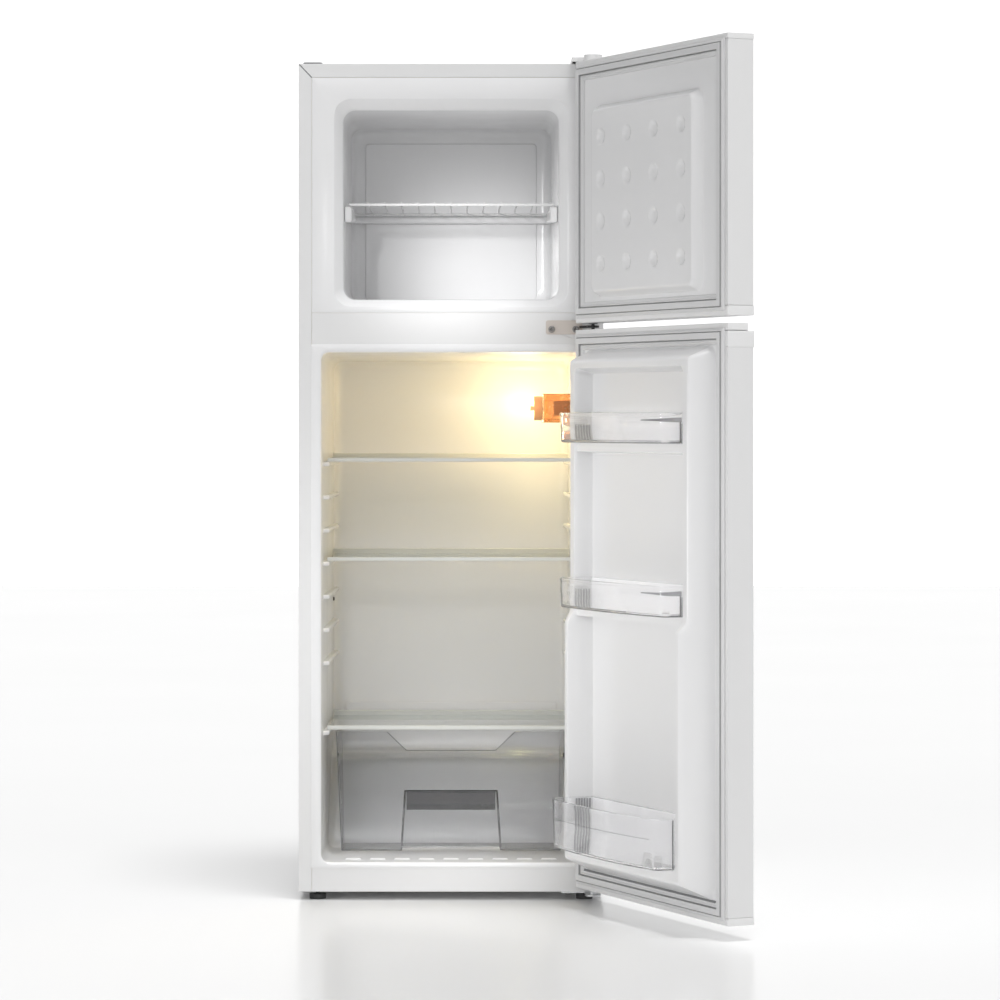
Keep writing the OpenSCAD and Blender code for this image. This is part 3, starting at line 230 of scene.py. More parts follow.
def clear_material(name, colour, rough, ior, variation, lets, rim=None, transmission=1.0):
    """See-through stuff, slightly uneven, that lets most of the light through in place of a shadow."""
    mat, tree, bsdf = node_material(name)
    body = drifting(tree, CLEAR_BLOTCH, 2.0, colour, variation)
    if rim:
        body = grazing_edge_shade(tree, body, rim)
    tree.links.new(body, bsdf.inputs["Base Color"])
    gloss = spread(tree, noise(tree, CLEAR_BLOTCH * 6), rough, rough + CLEAR_ROUGH_SPREAD)
    tree.links.new(gloss, bsdf.inputs["Roughness"])
    bsdf.inputs["IOR"].default_value = ior
    bsdf.inputs["Transmission Weight"].default_value = transmission
    clear = tree.nodes.new("ShaderNodeBsdfTransparent")
    clear.inputs["Color"].default_value = (lets, lets, lets, 1)
    path = tree.nodes.new("ShaderNodeLightPath")
    choose = tree.nodes.new("ShaderNodeMixShader")
    tree.links.new(path.outputs["Is Shadow Ray"], choose.inputs["Fac"])
    tree.links.new(bsdf.outputs["BSDF"], choose.inputs[1])
    tree.links.new(clear.outputs["BSDF"], choose.inputs[2])
    tree.links.new(choose.outputs["Shader"], tree.nodes["Material Output"].inputs["Surface"])
    return mat


# Name: colour, roughness, index of refraction, colour variation, share of the light that a shadow lets
# through, then the rim's grey, painted shade at grazing angles, and the transmission where they aren't the usual
# ones
CLEAR_STUFF = {
    "shelf_glass": ((0.93, 0.98, 0.96), 0.0, 1.5, 0.02, 0.94),
    "clear_plastic": ((0.99, 0.99, 0.995), 0.01, 1.36, 0.005, 0.97, 0.10, 0.92),
    "smoke_plastic": ((0.78, 0.78, 0.785), 0.04, 1.42, 0.01, 0.90, 0.10),
    # Also gives the painted shade under the roof of the drawer's hand recess
    "dark_clear_plastic": ((0.42, 0.42, 0.43), 0.05, 1.45, 0.02, 0.80, 0.05),
    # Ribs: real, but greyer than the bin's clear plastic as a painted shade over the ribbed sides
    "rib_shade_plastic": ((0.60, 0.60, 0.605), 0.05, 1.45, 0.02, 0.88, 0.08),
    "amber_plastic": ((0.90, 0.52, 0.28), 0.25, 1.45, 0.02, 0.80),
}
MATERIALS.update({name: clear_material(name, *look) for name, look in CLEAR_STUFF.items()})

# The middle hinge's paint changes between these two depths
PAINT_CHANGE_Y = (-0.0060, -0.0035)


def hinge_paint(name, black, beige):
    """Beige plate against the cabinet, black arm in front of it."""
    mat, tree, bsdf = node_material(name)
    coords = tree.nodes.new("ShaderNodeTexCoord")
    split = tree.nodes.new("ShaderNodeSeparateXYZ")
    tree.links.new(coords.outputs["Object"], split.inputs[0])
    along = spread(tree, split.outputs["Y"], 0.0, 1.0, *PAINT_CHANGE_Y)
    tree.links.new(ramp(tree, along, black, beige, 0.0, 1.0), bsdf.inputs["Base Color"])
    tree.links.new(spread(tree, noise(tree, 60), 0.28, 0.36), bsdf.inputs["Roughness"])
    return mat


def glow_material(name, colour, strength):
    """Lit bulb, slightly uneven."""
    mat, tree, bsdf = node_material(name)
    tint = ramp(tree, noise(tree, 60), shade(colour, 0.95), colour)
    for socket in ("Base Color", "Emission Color"):
        tree.links.new(tint, bsdf.inputs[socket])
    bsdf.inputs["Emission Strength"].default_value = strength
    bsdf.inputs["Roughness"].default_value = 0.2
    return mat


MATERIALS["hinge_paint"] = hinge_paint("hinge_paint", (0.02, 0.02, 0.02), (0.66, 0.60, 0.55))
MATERIALS["bulb_glass"] = glow_material("bulb_glass", (1.0, 0.82, 0.50), 4.5)

# ---------- Mesh helpers ----------

SMOOTH_ANGLE = math.radians(32)
BEVEL_ANGLE = math.radians(30)
CORNER_STEPS = 6


def smooth_shading(obj):
    obj.data.polygons.foreach_set("use_smooth", [True] * len(obj.data.polygons))
    obj.data.set_sharp_from_angle(angle=SMOOTH_ANGLE)


def bevel(obj, width, segments=2):
    mod = obj.modifiers.new("edges", "BEVEL")
    mod.width = width
    mod.segments = segments
    mod.limit_method = "ANGLE"
    mod.angle_limit = BEVEL_ANGLE
    mod.harden_normals = False


def fix_normals(mesh):
    bm = bmesh.new()
    bm.from_mesh(mesh)
    bmesh.ops.recalc_face_normals(bm, faces=bm.faces)
    bm.to_mesh(mesh)
    bm.free()


def add_piece(name, shape, material, body, replaced=(), swing=False, round_edge_shades=0.0, segments=2,
              thickness=0.0):
    """Makes a piece from its vertices and faces, gives it its material and lets it ride on a body."""
    verts, faces = shape
    mesh = bpy.data.meshes.new(name)
    mesh.from_pydata([tuple(v) for v in verts], [], faces)
    if swing:
        mesh.transform(SWING)
    mesh.update()
    obj = bpy.data.objects.new(name, mesh)
    scene.collection.objects.link(obj)
    fix_normals(mesh)
    smooth_shading(obj)
    if thickness:
        solid = obj.modifiers.new("wall", "SOLIDIFY")
        solid.thickness = thickness
        solid.offset = -1
    if round_edge_shades:
        bevel(obj, round_edge_shades, segments)
    mesh.materials.append(MATERIALS[material])
    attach(obj, body)
    if replaced:
        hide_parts(*replaced)


def ring(y, half, z0, z1, r, steps=7):
    """Rounded rectangle in X and Z, as a closed loop of points."""
    points = []
    for cx, cz, turn in ((1, 0, -90), (1, 1, 0), (-1, 1, 90), (-1, 0, 180)):
        x = cx * (half - r)
        z = z1 - r if cz else z0 + r
        for i in range(steps + 1):
            a = math.radians(turn + 90 * i / steps)
            points.append((x + r * math.cos(a), y, z + r * math.sin(a)))
    return points


def loft(rings, cap_first=False, cap_last=False):
    """Skin through closed loops that all have the same number of points."""
    count = len(rings[0])
    verts = [p for loop in rings for p in loop]
    faces = []
    for k in range(len(rings) - 1):
        a, b = k * count, (k + 1) * count
        for i in range(count):
            j = (i + 1) % count
            faces.append((a + i, a + j, b + j, b + i))
    if cap_first:
        faces.append(tuple(range(count))[::-1])
    if cap_last:
        faces.append(tuple((len(rings) - 1) * count + i for i in range(count)))
    return verts, faces


def prism(outline, low, high, axis="z"):
    """Outline pushed along an axis. The outline's points are (x, y), (x, z) or (y, z)."""
    place = {
        "z": lambda p, t: (p[0], p[1], t),
        "y": lambda p, t: (p[0], t, p[1]),
        "x": lambda p, t: (t, p[0], p[1]),
    }[axis]
    return loft([[place(p, low) for p in outline], [place(p, high) for p in outline]], True, True)


def merge(*parts):
    """One set of vertices and faces out of several."""
    verts, faces = [], []
    for v, f in parts:
        base = len(verts)
        verts += v
        faces += [tuple(i + base for i in face) for face in f]
    return verts, faces


def mix(a, b, t):
    return a + (b - a) * t


def mixed(a, b, t):
    """Rounded rectangle between two others."""
    return {k: mix(a[k], b[k], t) for k in a}


def grown(rect, by, round_by=0.0):
    """Rounded rectangle larger by a margin all round, and its corners' radius by another."""
    return dict(half=rect["half"] + by, z0=rect["z0"] - by, z1=rect["z1"] + by, r=rect["r"] + round_by)


def back_corner(back_y, corner, first=0):
    """Depth and inset of each ring that rounds the edge between the side walls and a back wall."""
    for i in range(first, CORNER_STEPS + 1):
        a = math.radians(90 * i / CORNER_STEPS)
        yield back_y - corner + corner * math.sin(a), corner * (1 - math.cos(a))


def smooth_max(a, b, k):
    h = max(k - abs(a - b), 0.0) / k
    return max(a, b) + h * h * k / 4


def smooth_min(a, b, k):
    return -smooth_max(-a, -b, k)


def rect_distance(x, z, half_x, z0, z1, r):
    """Signed distance to a rounded rectangle, negative inside."""
    cz = (z0 + z1) / 2
    dx = abs(x) - (half_x - r)
    dz = abs(z - cz) - ((z1 - z0) / 2 - r)
    return math.hypot(max(dx, 0), max(dz, 0)) + min(max(dx, dz), 0) - r


def lines(*stretches):
    """Grid lines from (start, end, step) stretches that follow each other."""
    values = []
    for start, end, step in stretches:
        count = max(1, round((end - start) / step))
        values += [start + (end - start) * i / count for i in range(count)]
    values.append(stretches[-1][1])
    return values


def height_field(xs, zs, height, y0):
    """Sheet over a grid in X and Z, raised into the cabinet by height(x, z)."""
    verts = [(x, y0 + height(x, z), z) for z in zs for x in xs]
    n = len(xs)
    faces = [
        (r * n + c, r * n + c + 1, (r + 1) * n + c + 1, (r + 1) * n + c)
        for r in range(len(zs) - 1)
        for c in range(n - 1)
    ]
    return verts, faces


# ---------- Camera, floor and light ----------

CAMERA_AT = (0.0, -6.356, 0.858)
camera_data = bpy.data.cameras.new("camera")
camera_data.sensor_width = 36.0
camera_data.lens = 128.0
camera_data.shift_x = 0.049
camera_data.shift_y = -0.080
camera = bpy.data.objects.new("camera", camera_data)
camera.location = CAMERA_AT
camera.rotation_euler = (math.pi / 2, 0, 0)
scene.collection.objects.link(camera)
scene.camera = camera

scene.view_settings.view_transform = "Standard"
scene.view_settings.look = "None"

# Strength of the light that comes from each side of the room
LEFT_WALL = 0.21
RIGHT_WALL = 0.58
FRONT_WALL = 0.74
CEILING = 0.05
BACKDROP = 1.25


def studio_world():
    """White backdrop behind the object, dimmer walls to the sides and in front, brighter ceiling."""
    world = bpy.data.worlds.new("studio")
    scene.world = world
    world.use_nodes = True
    tree = world.node_tree
    coords = tree.nodes.new("ShaderNodeTexCoord")
    split = tree.nodes.new("ShaderNodeSeparateXYZ")
    tree.links.new(coords.outputs["Generated"], split.inputs[0])

    def slope(axis, start, end, low, high):
        node = tree.nodes.new("ShaderNodeMapRange")
        node.interpolation_type = "SMOOTHSTEP"
        for socket, value in (("From Min", start), ("From Max", end), ("To Min", low), ("To Max", high)):
            node.inputs[socket].default_value = value
        tree.links.new(split.outputs[axis], node.inputs["Value"])
        return node.outputs["Result"]

    def combine(operation, a, b):
        node = tree.nodes.new("ShaderNodeMath")
        node.operation = operation
        tree.links.new(a, node.inputs[0])
        tree.links.new(b, node.inputs[1])
        return node.outputs["Value"]

    sides = combine("ADD", slope("X", -1.0, 0.0, LEFT_WALL, 0.0), slope("X", 0.0, 1.0, 0.0, RIGHT_WALL))
    walls = combine("ADD", sides, slope("Y", -1.0, 0.0, FRONT_WALL, 0.0))
    walls = combine("ADD", walls, slope("Z", 0.0, 1.0, 0.0, CEILING))
    strength = combine("MAXIMUM", walls, slope("Y", 0.80, 0.95, 0.0, BACKDROP))
    background = tree.nodes["Background"]
    background.inputs["Color"].default_value = (1, 1, 1, 1)
    tree.links.new(strength, background.inputs["Strength"])


def add_light(name, kind, at, target, power):
    """Light of any kind, aimed at its target. Returns its data for what only that kind has."""
    data = bpy.data.lights.new(name, kind)
    data.energy = power
    obj = bpy.data.objects.new(name, data)
    obj.location = at
    obj.rotation_euler = (Vector(target) - Vector(at)).to_track_quat("-Z", "Y").to_euler()
    scene.collection.objects.link(obj)
    return data


def area_light(name, at, target, size, power):
    data = add_light(name, "AREA", at, target, power)
    data.shape = "RECTANGLE"
    data.size, data.size_y = size


def sun_light(name, direction, angle, power):
    data = add_light(name, "SUN", (0, 0, 0), direction, power)
    data.angle = math.radians(angle)


def spot_light(name, at, target, angle, power, size):
    data = add_light(name, "SPOT", at, target, power)
    data.spot_size = math.radians(angle)
    data.spot_blend = 1.0
    data.shadow_soft_size = size


studio_world()
area_light("key", (-1.6, -4.6, 4.2), (0.1, 0.3, 0.9), (1.4, 1.4), 10)
area_light("low_left", (-2.6, -2.2, 0.4), (0.3, 0.0, 0.45), (1.2, 0.8), 4)
# Wide light high overhead, a little in front and to the right, which whitens the floor
sun_light("overhead", (-0.12, 0.17, -1), 20, 1.50)
# Narrow beams that fill the hollows, as the photograph's retouched lighting does
spot_light("freezer_fill", (-0.50, -2.6, 1.50), (0.08, 0.41, 1.11), 8.2, 200, 0.10)
spot_light("fridge_fill", (-0.35, -3.2, 1.40), (0.0, 0.35, 0.33), 14.0, 90, 0.25)
spot_light("crisper_fill", (-0.15, -3.4, 0.42), (0.05, 0.14, 0.085), 7.0, 80, 0.15)
spot_light("door_fill", (-2.8, -1.2, 0.55), (0.40, -0.25, 0.56), 24.0, 88, 0.20)

FLOOR_HALF = 12.0


def make_floor():
    """Pale floor, slightly glossy."""
    mat, tree, bsdf = node_material("floor")
    tint = ramp(tree, noise(tree, 0.8), (0.93, 0.93, 0.93), (0.95, 0.95, 0.95))
    tree.links.new(tint, bsdf.inputs["Base Color"])
    bsdf.inputs["Roughness"].default_value = 0.22
    bsdf.inputs["Specular IOR Level"].default_value = 0.15
    mesh = bpy.data.meshes.new("floor")
    corners = [(sx * FLOOR_HALF, sy * FLOOR_HALF, 0) for sx, sy in ((-1, -1), (1, -1), (1, 1), (-1, 1))]
    mesh.from_pydata(corners, [], [(0, 1, 2, 3)])
    mesh.materials.append(mat)
    floor = bpy.data.objects.new("floor", mesh)
    scene.collection.objects.link(floor)


make_floor()

# ---------- Cabinet liners ----------

LINER_WALL = 0.0015
FLANGE_EDGE = 0.0006
FLANGE_BACK_Y = 0.0018
FREEZER_CORNER = 0.016
FRIDGE_CORNER = 0.020
PANEL_RISE = 0.003
PANEL_EDGE = 0.002


def liner_flange(half, z0, z1, mouth):
    """Outer edge of a liner's front flange, then the rim of its mouth."""
    return [
        ring(FLANGE_BACK_Y, half, z0, z1, FLANGE_EDGE),
        ring(0.0002, half, z0, z1, FLANGE_EDGE),
        ring(0.0, half - 0.0004, z0 + 0.0004, z1 - 0.0004, FLANGE_EDGE),
        ring(0.0, **grown(mouth, 0.004, 0.004)),
        ring(0.0004, **grown(mouth, 0.0015, 0.0015)),
        ring(FLANGE_BACK_Y, **grown(mouth, 0.0002)),
    ]


def freezer_liner():
    """Flange, bevelled lip, slightly tapering walls and a raised panel in the back wall."""
    back = grown(FREEZER_LIP, -FREEZER_DRAFT)
    panel = dict(half=0.161, z0=FREEZER_MOUTH["z0"] + 0.0247, z1=FREEZER_MOUTH["z1"] - 0.0494, r=0.006)
    rings = liner_flange(FREEZER_FLANGE_HALF, RAIL_HI.z + 0.0002, TOP_Z - 0.025, FREEZER_MOUTH)
    rings += [
        ring(FREEZER_LIP_Y - 0.004, **mixed(FREEZER_MOUTH, FREEZER_LIP, 0.82)),
        ring(FREEZER_LIP_Y, **mixed(FREEZER_MOUTH, FREEZER_LIP, 0.96)),
        ring(FREEZER_LIP_Y + 0.005, **FREEZER_LIP),
        ring(FREEZER_BACK_Y / 2, **mixed(FREEZER_LIP, back, 0.5)),
    ]
    rings += [ring(y, **grown(back, -inset)) for y, inset in back_corner(FREEZER_BACK_Y, FREEZER_CORNER)]
    rings += [
        ring(FREEZER_BACK_Y, **grown(panel, PANEL_EDGE, PANEL_EDGE)),
        ring(FREEZER_BACK_Y - PANEL_RISE, **panel),
    ]
    add_piece("freezer_liner_shell", loft(rings, cap_last=True), "liner_plastic", "cabinet",
              ("freezer_liner",), thickness=LINER_WALL)


def freezer_shelf_ledge():
    """Moulded ledge along both sides and the back, which carries the wire shelf. Its underside rises."""
    top = WIRE_SHELF_Z - 0.0035
    front_drop, rear_drop = 0.029, 0.013
    inner = FREEZER_LIP["half"] - 0.014
    outer = FREEZER_LIP["half"] - 0.001
    front, back = 0.047, FREEZER_BACK_Y - 0.018
    chamfer = 0.010
    outer_back, outer_back_y = outer - 0.0042, FREEZER_BACK_Y - 0.002
    outline = [
        (outer, front), (outer_back, outer_back_y), (-outer_back, outer_back_y), (-outer, front),
        (-inner, front + 0.006), (-inner, back - chamfer), (-inner + chamfer, back),
        (inner - chamfer, back), (inner, back - chamfer), (inner, front + 0.006),
    ]

    def underside(y):
        return top - mix(front_drop, rear_drop, min(1.0, (y - front) / (back - chamfer - front)))

    shape = loft([[(x, y, underside(y)) for x, y in outline], [(x, y, top) for x, y in outline]], True, True)
    add_piece("freezer_shelf_ledge", shape, "liner_plastic", "cabinet", round_edge_shades=0.004, segments=3)


FLOOR_RISE = 0.002
HUMP_RISE = 0.008
FLOOR_BLUR = 0.012
BLUR_STEPS = 8


def sharp_floor(y):
    """Height of the fridge floor above its mouth: nearly level, then up the hump, then nearly level."""
    if y < HUMP_START_Y:
        return FLOOR_RISE * y / HUMP_START_Y
    if y < HUMP_END_Y:
        return mix(FLOOR_RISE, HUMP_HEIGHT, (y - HUMP_START_Y) / (HUMP_END_Y - HUMP_START_Y))
    return HUMP_HEIGHT + HUMP_RISE * (y - HUMP_END_Y) / (FRIDGE_BACK_Y - HUMP_END_Y)


def fridge_floor(y):
    """Height of the fridge floor, with soft bends where it climbs over the compressor bay."""
    shifts = [FLOOR_BLUR * (2 * i / BLUR_STEPS - 1) for i in range(BLUR_STEPS + 1)]
    return FRIDGE_MOUTH["z0"] + sum(sharp_floor(y + shift) for shift in shifts) / len(shifts)


def fridge_half(y):
    return FRIDGE_MOUTH["half"] - FRIDGE_DRAFT * y / FRIDGE_BACK_Y


def fridge_ceiling(y):
    return FRIDGE_MOUTH["z1"] - FRIDGE_CEILING_DROP * y / FRIDGE_BACK_Y


# Depths of the fridge liner's rings, closer where its floor bends
FRIDGE_DEPTHS = (0.006, 0.05, 0.12, 0.19, 0.20, 0.207, 0.214, 0.221, 0.228, 0.26, 0.30, 0.322, 0.329,
                 0.335, 0.341, 0.348, 0.38, FRIDGE_BACK_Y - FRIDGE_CORNER)


def fridge_liner():
    """Flange, slightly tapering walls and a floor that climbs over the compressor bay."""
    flange_low_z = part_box("base_pan")[0].z + 0.0434
    rings = liner_flange(RAIL_HI.x, flange_low_z, RAIL_LO.z - 0.0002, FRIDGE_MOUTH)
    for y in FRIDGE_DEPTHS:
        r = mix(FRIDGE_MOUTH["r"], FRIDGE_CORNER, y / FRIDGE_BACK_Y)
        rings.append(ring(y, fridge_half(y), fridge_floor(y), fridge_ceiling(y), r))
    for y, inset in back_corner(FRIDGE_BACK_Y, FRIDGE_CORNER, first=1):
        z0, z1 = fridge_floor(y) + inset, fridge_ceiling(y) - inset
        rings.append(ring(y, fridge_half(y) - inset, z0, z1, FRIDGE_CORNER))
    add_piece("fridge_liner_shell", loft(rings, cap_last=True), "liner_plastic", "cabinet",
              ("fridge_liner",), thickness=LINER_WALL)


def side_ledges():
    """Shelf ledges on both side walls, each with a chamfered front end."""
    thick, reach, front, back = 0.008, 0.012, 0.060, 0.395
    root, chamfer = 0.001, 0.014
    levels = [LEDGE_TOP_Z - i * LEDGE_PITCH for i in range(LEDGE_COUNT)] + [COVER_LEDGE_Z]
    parts = []
    for side in (-1, 1):
        outline = [
            (side * (fridge_half(front) + root), front),
            (side * (fridge_half(front + chamfer) - reach), front + chamfer),
            (side * (fridge_half(back) - reach), back),
            (side * (fridge_half(back) + root), back),
        ]
        parts += [prism(outline, z - thick, z) for z in levels]
    add_piece("shelf_ledges", merge(*parts), "liner_plastic", "cabinet", round_edge_shades=0.0028, segments=3)


def drain_gutter():
    """Gutter on the back wall that leads the meltwater to the drain."""
    half, reach, deep = 0.2, 0.016, 0.016
    y, z = FRIDGE_BACK_Y, COVER_LEDGE_Z + 0.009
    outline = [(y + 0.001, z), (y - reach, z), (y - reach, z + deep), (y - reach + 0.0025, z + deep),
               (y - reach + 0.0035, z + 0.004), (y + 0.001, z + 0.003)]
    add_piece("drain_gutter", prism(outline, -half, half, "x"), "liner_plastic", "cabinet",
              round_edge_shades=0.001)


def floor_pads():
    """Nine raised pads across the front of the fridge floor."""
    pitch, half, front, back = 0.044, 0.015, 0.040, 0.056
    floor = FRIDGE_MOUTH["z0"]
    steps = ((0, floor - 0.001), (0.001, floor + 0.003), (0.003, floor + 0.004))
    parts = []
    for x in (i * pitch for i in range(-4, 5)):
        parts.append(loft([
            [(x - half + e, front + e, z), (x + half - e, front + e, z),
             (x + half - e, back - e, z), (x - half + e, back - e, z)]
            for e, z in steps
        ], True, True))
    add_piece("floor_pads", merge(*parts), "liner_plastic", "cabinet", round_edge_shades=0.0008)


def temperature_sensor():
    """Small round sensor head on the left wall near the back."""
    y = 0.392
    x = -fridge_half(y) + 0.0014
    z = mix(FRIDGE_MOUTH["z0"], FRIDGE_MOUTH["z1"], 0.4955)
    turns = [math.radians(15 * k) for k in range(24)]
    rings = [
        [(x + dx, y + r * math.cos(t), z + r * math.sin(t)) for t in turns]
        for r, dx in ((0.0036, -0.0014), (0.0036, 0.0016), (0.0028, 0.0026))
    ]
    add_piece("temperature_sensor", loft(rings, True, True), "sensor_plastic", "cabinet")


def mitre_seams():
    """Fine dark joints where the top of the folded front edge meets both sides."""
    half_width, deep, proud = 0.0007, 0.0005, 0.00006
    outer_x, outer_z = HALF_W - 0.0012, TOP_Z - 0.0012
    inner_x, inner_z = HALF_W - 0.0236, TOP_Z - 0.0250
    parts = []
    for s in (-1, 1):
        outline = [(s * (outer_x + half_width), outer_z - half_width),
                   (s * (outer_x - half_width), outer_z + half_width),
                   (s * (inner_x - half_width), inner_z + half_width),
                   (s * (inner_x + half_width), inner_z - half_width)]
        parts.append(prism(outline, deep, -proud, "y"))
    add_piece("mitre_seams", merge(*parts), "grey_plastic", "cabinet")


freezer_liner()
freezer_shelf_ledge()
temperature_sensor()
mitre_seams()
fridge_liner()
side_ledges()
drain_gutter()
floor_pads()

# ---------- Door liners and gaskets ----------

PLATEAU = dict(half_x=0.190, z0=FREEZER_DOOR["z0"] + 0.044, z1=FREEZER_DOOR["z1"] - 0.085, r=0.020)
PLATEAU_MID_Z = (PLATEAU["z0"] + PLATEAU["z1"]) / 2
PLATEAU_H = 0.017
PLATEAU_SLOPE = 0.009
DIMPLE_R = 0.0140
DIMPLE_DEPTH = 0.0042
DIMPLE_PITCH = (0.096, 0.074)
DIMPLE_ROUND = 0.55
# The outer ones of four dimples lie this many pitches from the middle of their row
LAST_DIMPLE = 1.5


def nearest_dimple(at, pitch):
    """Middle of the nearest of four dimples in a row, both measured from the middle of the row."""
    return pitch * min(LAST_DIMPLE, max(-LAST_DIMPLE, round(at / pitch - 0.5) + 0.5))


def freezer_door_height(x, z):
    """Flat plateau with round dimples."""
    rise = PLATEAU_H * -rect_distance(x, z, **PLATEAU) / PLATEAU_SLOPE
    h = smooth_min(smooth_max(rise, 0.0, 0.003), PLATEAU_H, 0.004)
    up = z - PLATEAU_MID_Z
    dx = x - nearest_dimple(x, DIMPLE_PITCH[0])
    dz = up - nearest_dimple(up, DIMPLE_PITCH[1])
    away = math.hypot(dx, dz) / DIMPLE_R
    if away < 1:
        h -= DIMPLE_DEPTH * (1 - away * away) ** DIMPLE_ROUND
    return h


def freezer_door_liner():
    """Sheet whose grid is finer at the plateau's edge."""
    fine, mid, low_edge, coarse = 0.0016, 0.0028, 0.008, 0.012
    near, far = 0.178, 0.194
    z0 = FREEZER_DOOR["z0"] + FREEZER_DOOR["cap_low"]
    z1 = FREEZER_DOOR["z1"] - FREEZER_DOOR["cap_top"]
    foot, top = (PLATEAU["z0"] - 0.004, PLATEAU["z0"] + 0.012), (PLATEAU["z1"] - 0.012, PLATEAU["z1"] + 0.004)
    xs = lines((-LINER_HALF, -far, coarse), (-far, -near, fine), (-near, near, mid), (near, far, fine),
               (far, LINER_HALF, coarse))
    zs = lines((z0, foot[0], low_edge), (*foot, fine), (foot[1], top[0], mid), (*top, fine),
               (top[1], z1, coarse))
    shape = height_field(xs, zs, freezer_door_height, DOOR_IN_Y)
    add_piece("freezer_door_panel", shape, "liner_plastic", "freezer_door", ("freezer_door_liner",),
              swing=True)


# The fridge door's liner has a ridge all round, the dyke, which is higher below a step. Inside it
# lies a pocket with a ledge under each of the upper two bins.
DYKE_FOOT = dict(
    half_x=HALF_W - 0.040, z0=FRIDGE_DOOR["z0"] + 0.038, z1=FRIDGE_DOOR["z1"] - 0.038, r=0.020
)
POCKET = dict(half_x=0.1945, z0=FRIDGE_DOOR["z0"] + 0.085, z1=FRIDGE_DOOR["z1"] - 0.070, r=0.012)
DYKE_LOW_H = 0.056
DYKE_HIGH_H = 0.042
DYKE_LOW_STEEPNESS = DYKE_LOW_H / 0.025
DYKE_TOP_STEEPNESS = DYKE_HIGH_H / 0.018
DYKE_TOP_ZONE = 0.05
DYKE_STEP = (FREEZER_DOOR["z0"] - 0.530, FREEZER_DOOR["z0"] - 0.502)
POCKET_FLOOR = 0.010
POCKET_WALL = 0.0075
BIN_LEDGES = (FREEZER_DOOR["z0"] - 0.212, FREEZER_DOOR["z0"] - 0.500)
BIN_LEDGE_T = 0.015
BIN_LEDGE_OUT = 0.038
BIN_LEDGE_STEEPNESS = 14


def fridge_door_height(x, z):
    """Dyke, pocket and ledges, blended softly into each other."""
    t = min(1.0, max(0.0, (z - DYKE_STEP[0]) / (DYKE_STEP[1] - DYKE_STEP[0])))
    crest = mix(DYKE_LOW_H, DYKE_HIGH_H, t * t * (3 - 2 * t))
    outside = rect_distance(x, z, **DYKE_FOOT)
    steepness = DYKE_LOW_STEEPNESS if z < DYKE_FOOT["z1"] - DYKE_TOP_ZONE else DYKE_TOP_STEEPNESS
    h = smooth_min(smooth_max(-outside * steepness, 0.0, 0.004), crest, 0.008)
    inside = rect_distance(x, z, **POCKET)
    wall = crest + inside * (crest - POCKET_FLOOR) / POCKET_WALL
    h = smooth_min(h, smooth_max(wall, POCKET_FLOOR, 0.006), 0.005) if inside < 0.004 else h
    if abs(x) < POCKET["half_x"]:
        for top in BIN_LEDGES:
            past = max(0.0, abs(z - (top - BIN_LEDGE_T / 2)) - BIN_LEDGE_T / 2)
            ledge = BIN_LEDGE_OUT - past * BIN_LEDGE_STEEPNESS
            h = smooth_max(h, min(ledge, crest), 0.003) if ledge > 0 else h
    return h


def fridge_door_liner():
    """Sheet whose grid is finer where its height changes."""
    z0 = FRIDGE_DOOR["z0"] + FRIDGE_DOOR["cap_low"]
    z1 = FRIDGE_DOOR["z1"] - FRIDGE_DOOR["cap_top"]
    fine, mid, coarse = 0.0014, 0.0025, 0.012
    near, crest, far = 0.182, 0.200, 0.236
    xs = lines((-LINER_HALF, -far, coarse), (-far, -crest, mid), (-crest, -near, fine),
               (-near, near, coarse), (near, crest, fine), (crest, far, mid), (far, LINER_HALF, coarse))
    stretches = [
        (z0, DYKE_FOOT["z0"] - 0.004, coarse), (DYKE_FOOT["z0"] - 0.004, POCKET["z0"] - 0.006, mid),
        (POCKET["z0"] - 0.006, POCKET["z0"] + 0.014, fine),
        (POCKET["z0"] + 0.014, DYKE_STEP[0] - 0.004, coarse),
        (DYKE_STEP[0] - 0.004, BIN_LEDGES[1] - BIN_LEDGE_T - 0.006, mid),
    ]
    for top in sorted(BIN_LEDGES):
        start = stretches[-1][1]
        low = top - BIN_LEDGE_T
        if low - 0.006 > start + 0.001:
            stretches.append((start, low - 0.006, coarse))
        stretches += [(low - 0.006, low + 0.003, fine), (low + 0.003, top - 0.003, mid),
                      (top - 0.003, top + 0.006, fine)]
    stretches += [
        (stretches[-1][1], POCKET["z1"] - 0.014, coarse),
        (POCKET["z1"] - 0.014, POCKET["z1"] + 0.006, fine),
        (POCKET["z1"] + 0.006, DYKE_FOOT["z1"] + 0.004, mid), (DYKE_FOOT["z1"] + 0.004, z1, coarse),
    ]
    shape = height_field(xs, lines(*stretches), fridge_door_height, DOOR_IN_Y)
    add_piece("fridge_door_panel", shape, "liner_plastic", "fridge_door", ("fridge_door_liner",),
              swing=True)


# Section of the magnetic gasket: distance in from the door's edge, and height above the inner face
GASKET_SECTION = [
    (0.0080, 0.0003), (0.0082, 0.0022), (0.0100, 0.0030), (0.0115, 0.0046), (0.0138, 0.0052),
    (0.0142, 0.0030), (0.0150, 0.0030), (0.0154, 0.0070), (0.0162, 0.0075), (0.0250, 0.0075),
    (0.0256, 0.0070), (0.0260, 0.0024), (0.0272, 0.0024), (0.0278, 0.0042), (0.0298, 0.0046),
    (0.0312, 0.0030), (0.0330, 0.0028), (0.0352, 0.0020), (0.0360, 0.0004),
]
# First and last point of each groove in that section, which is painted dark as the groove's shade
GROOVES = ((4, 7), (10, 13))


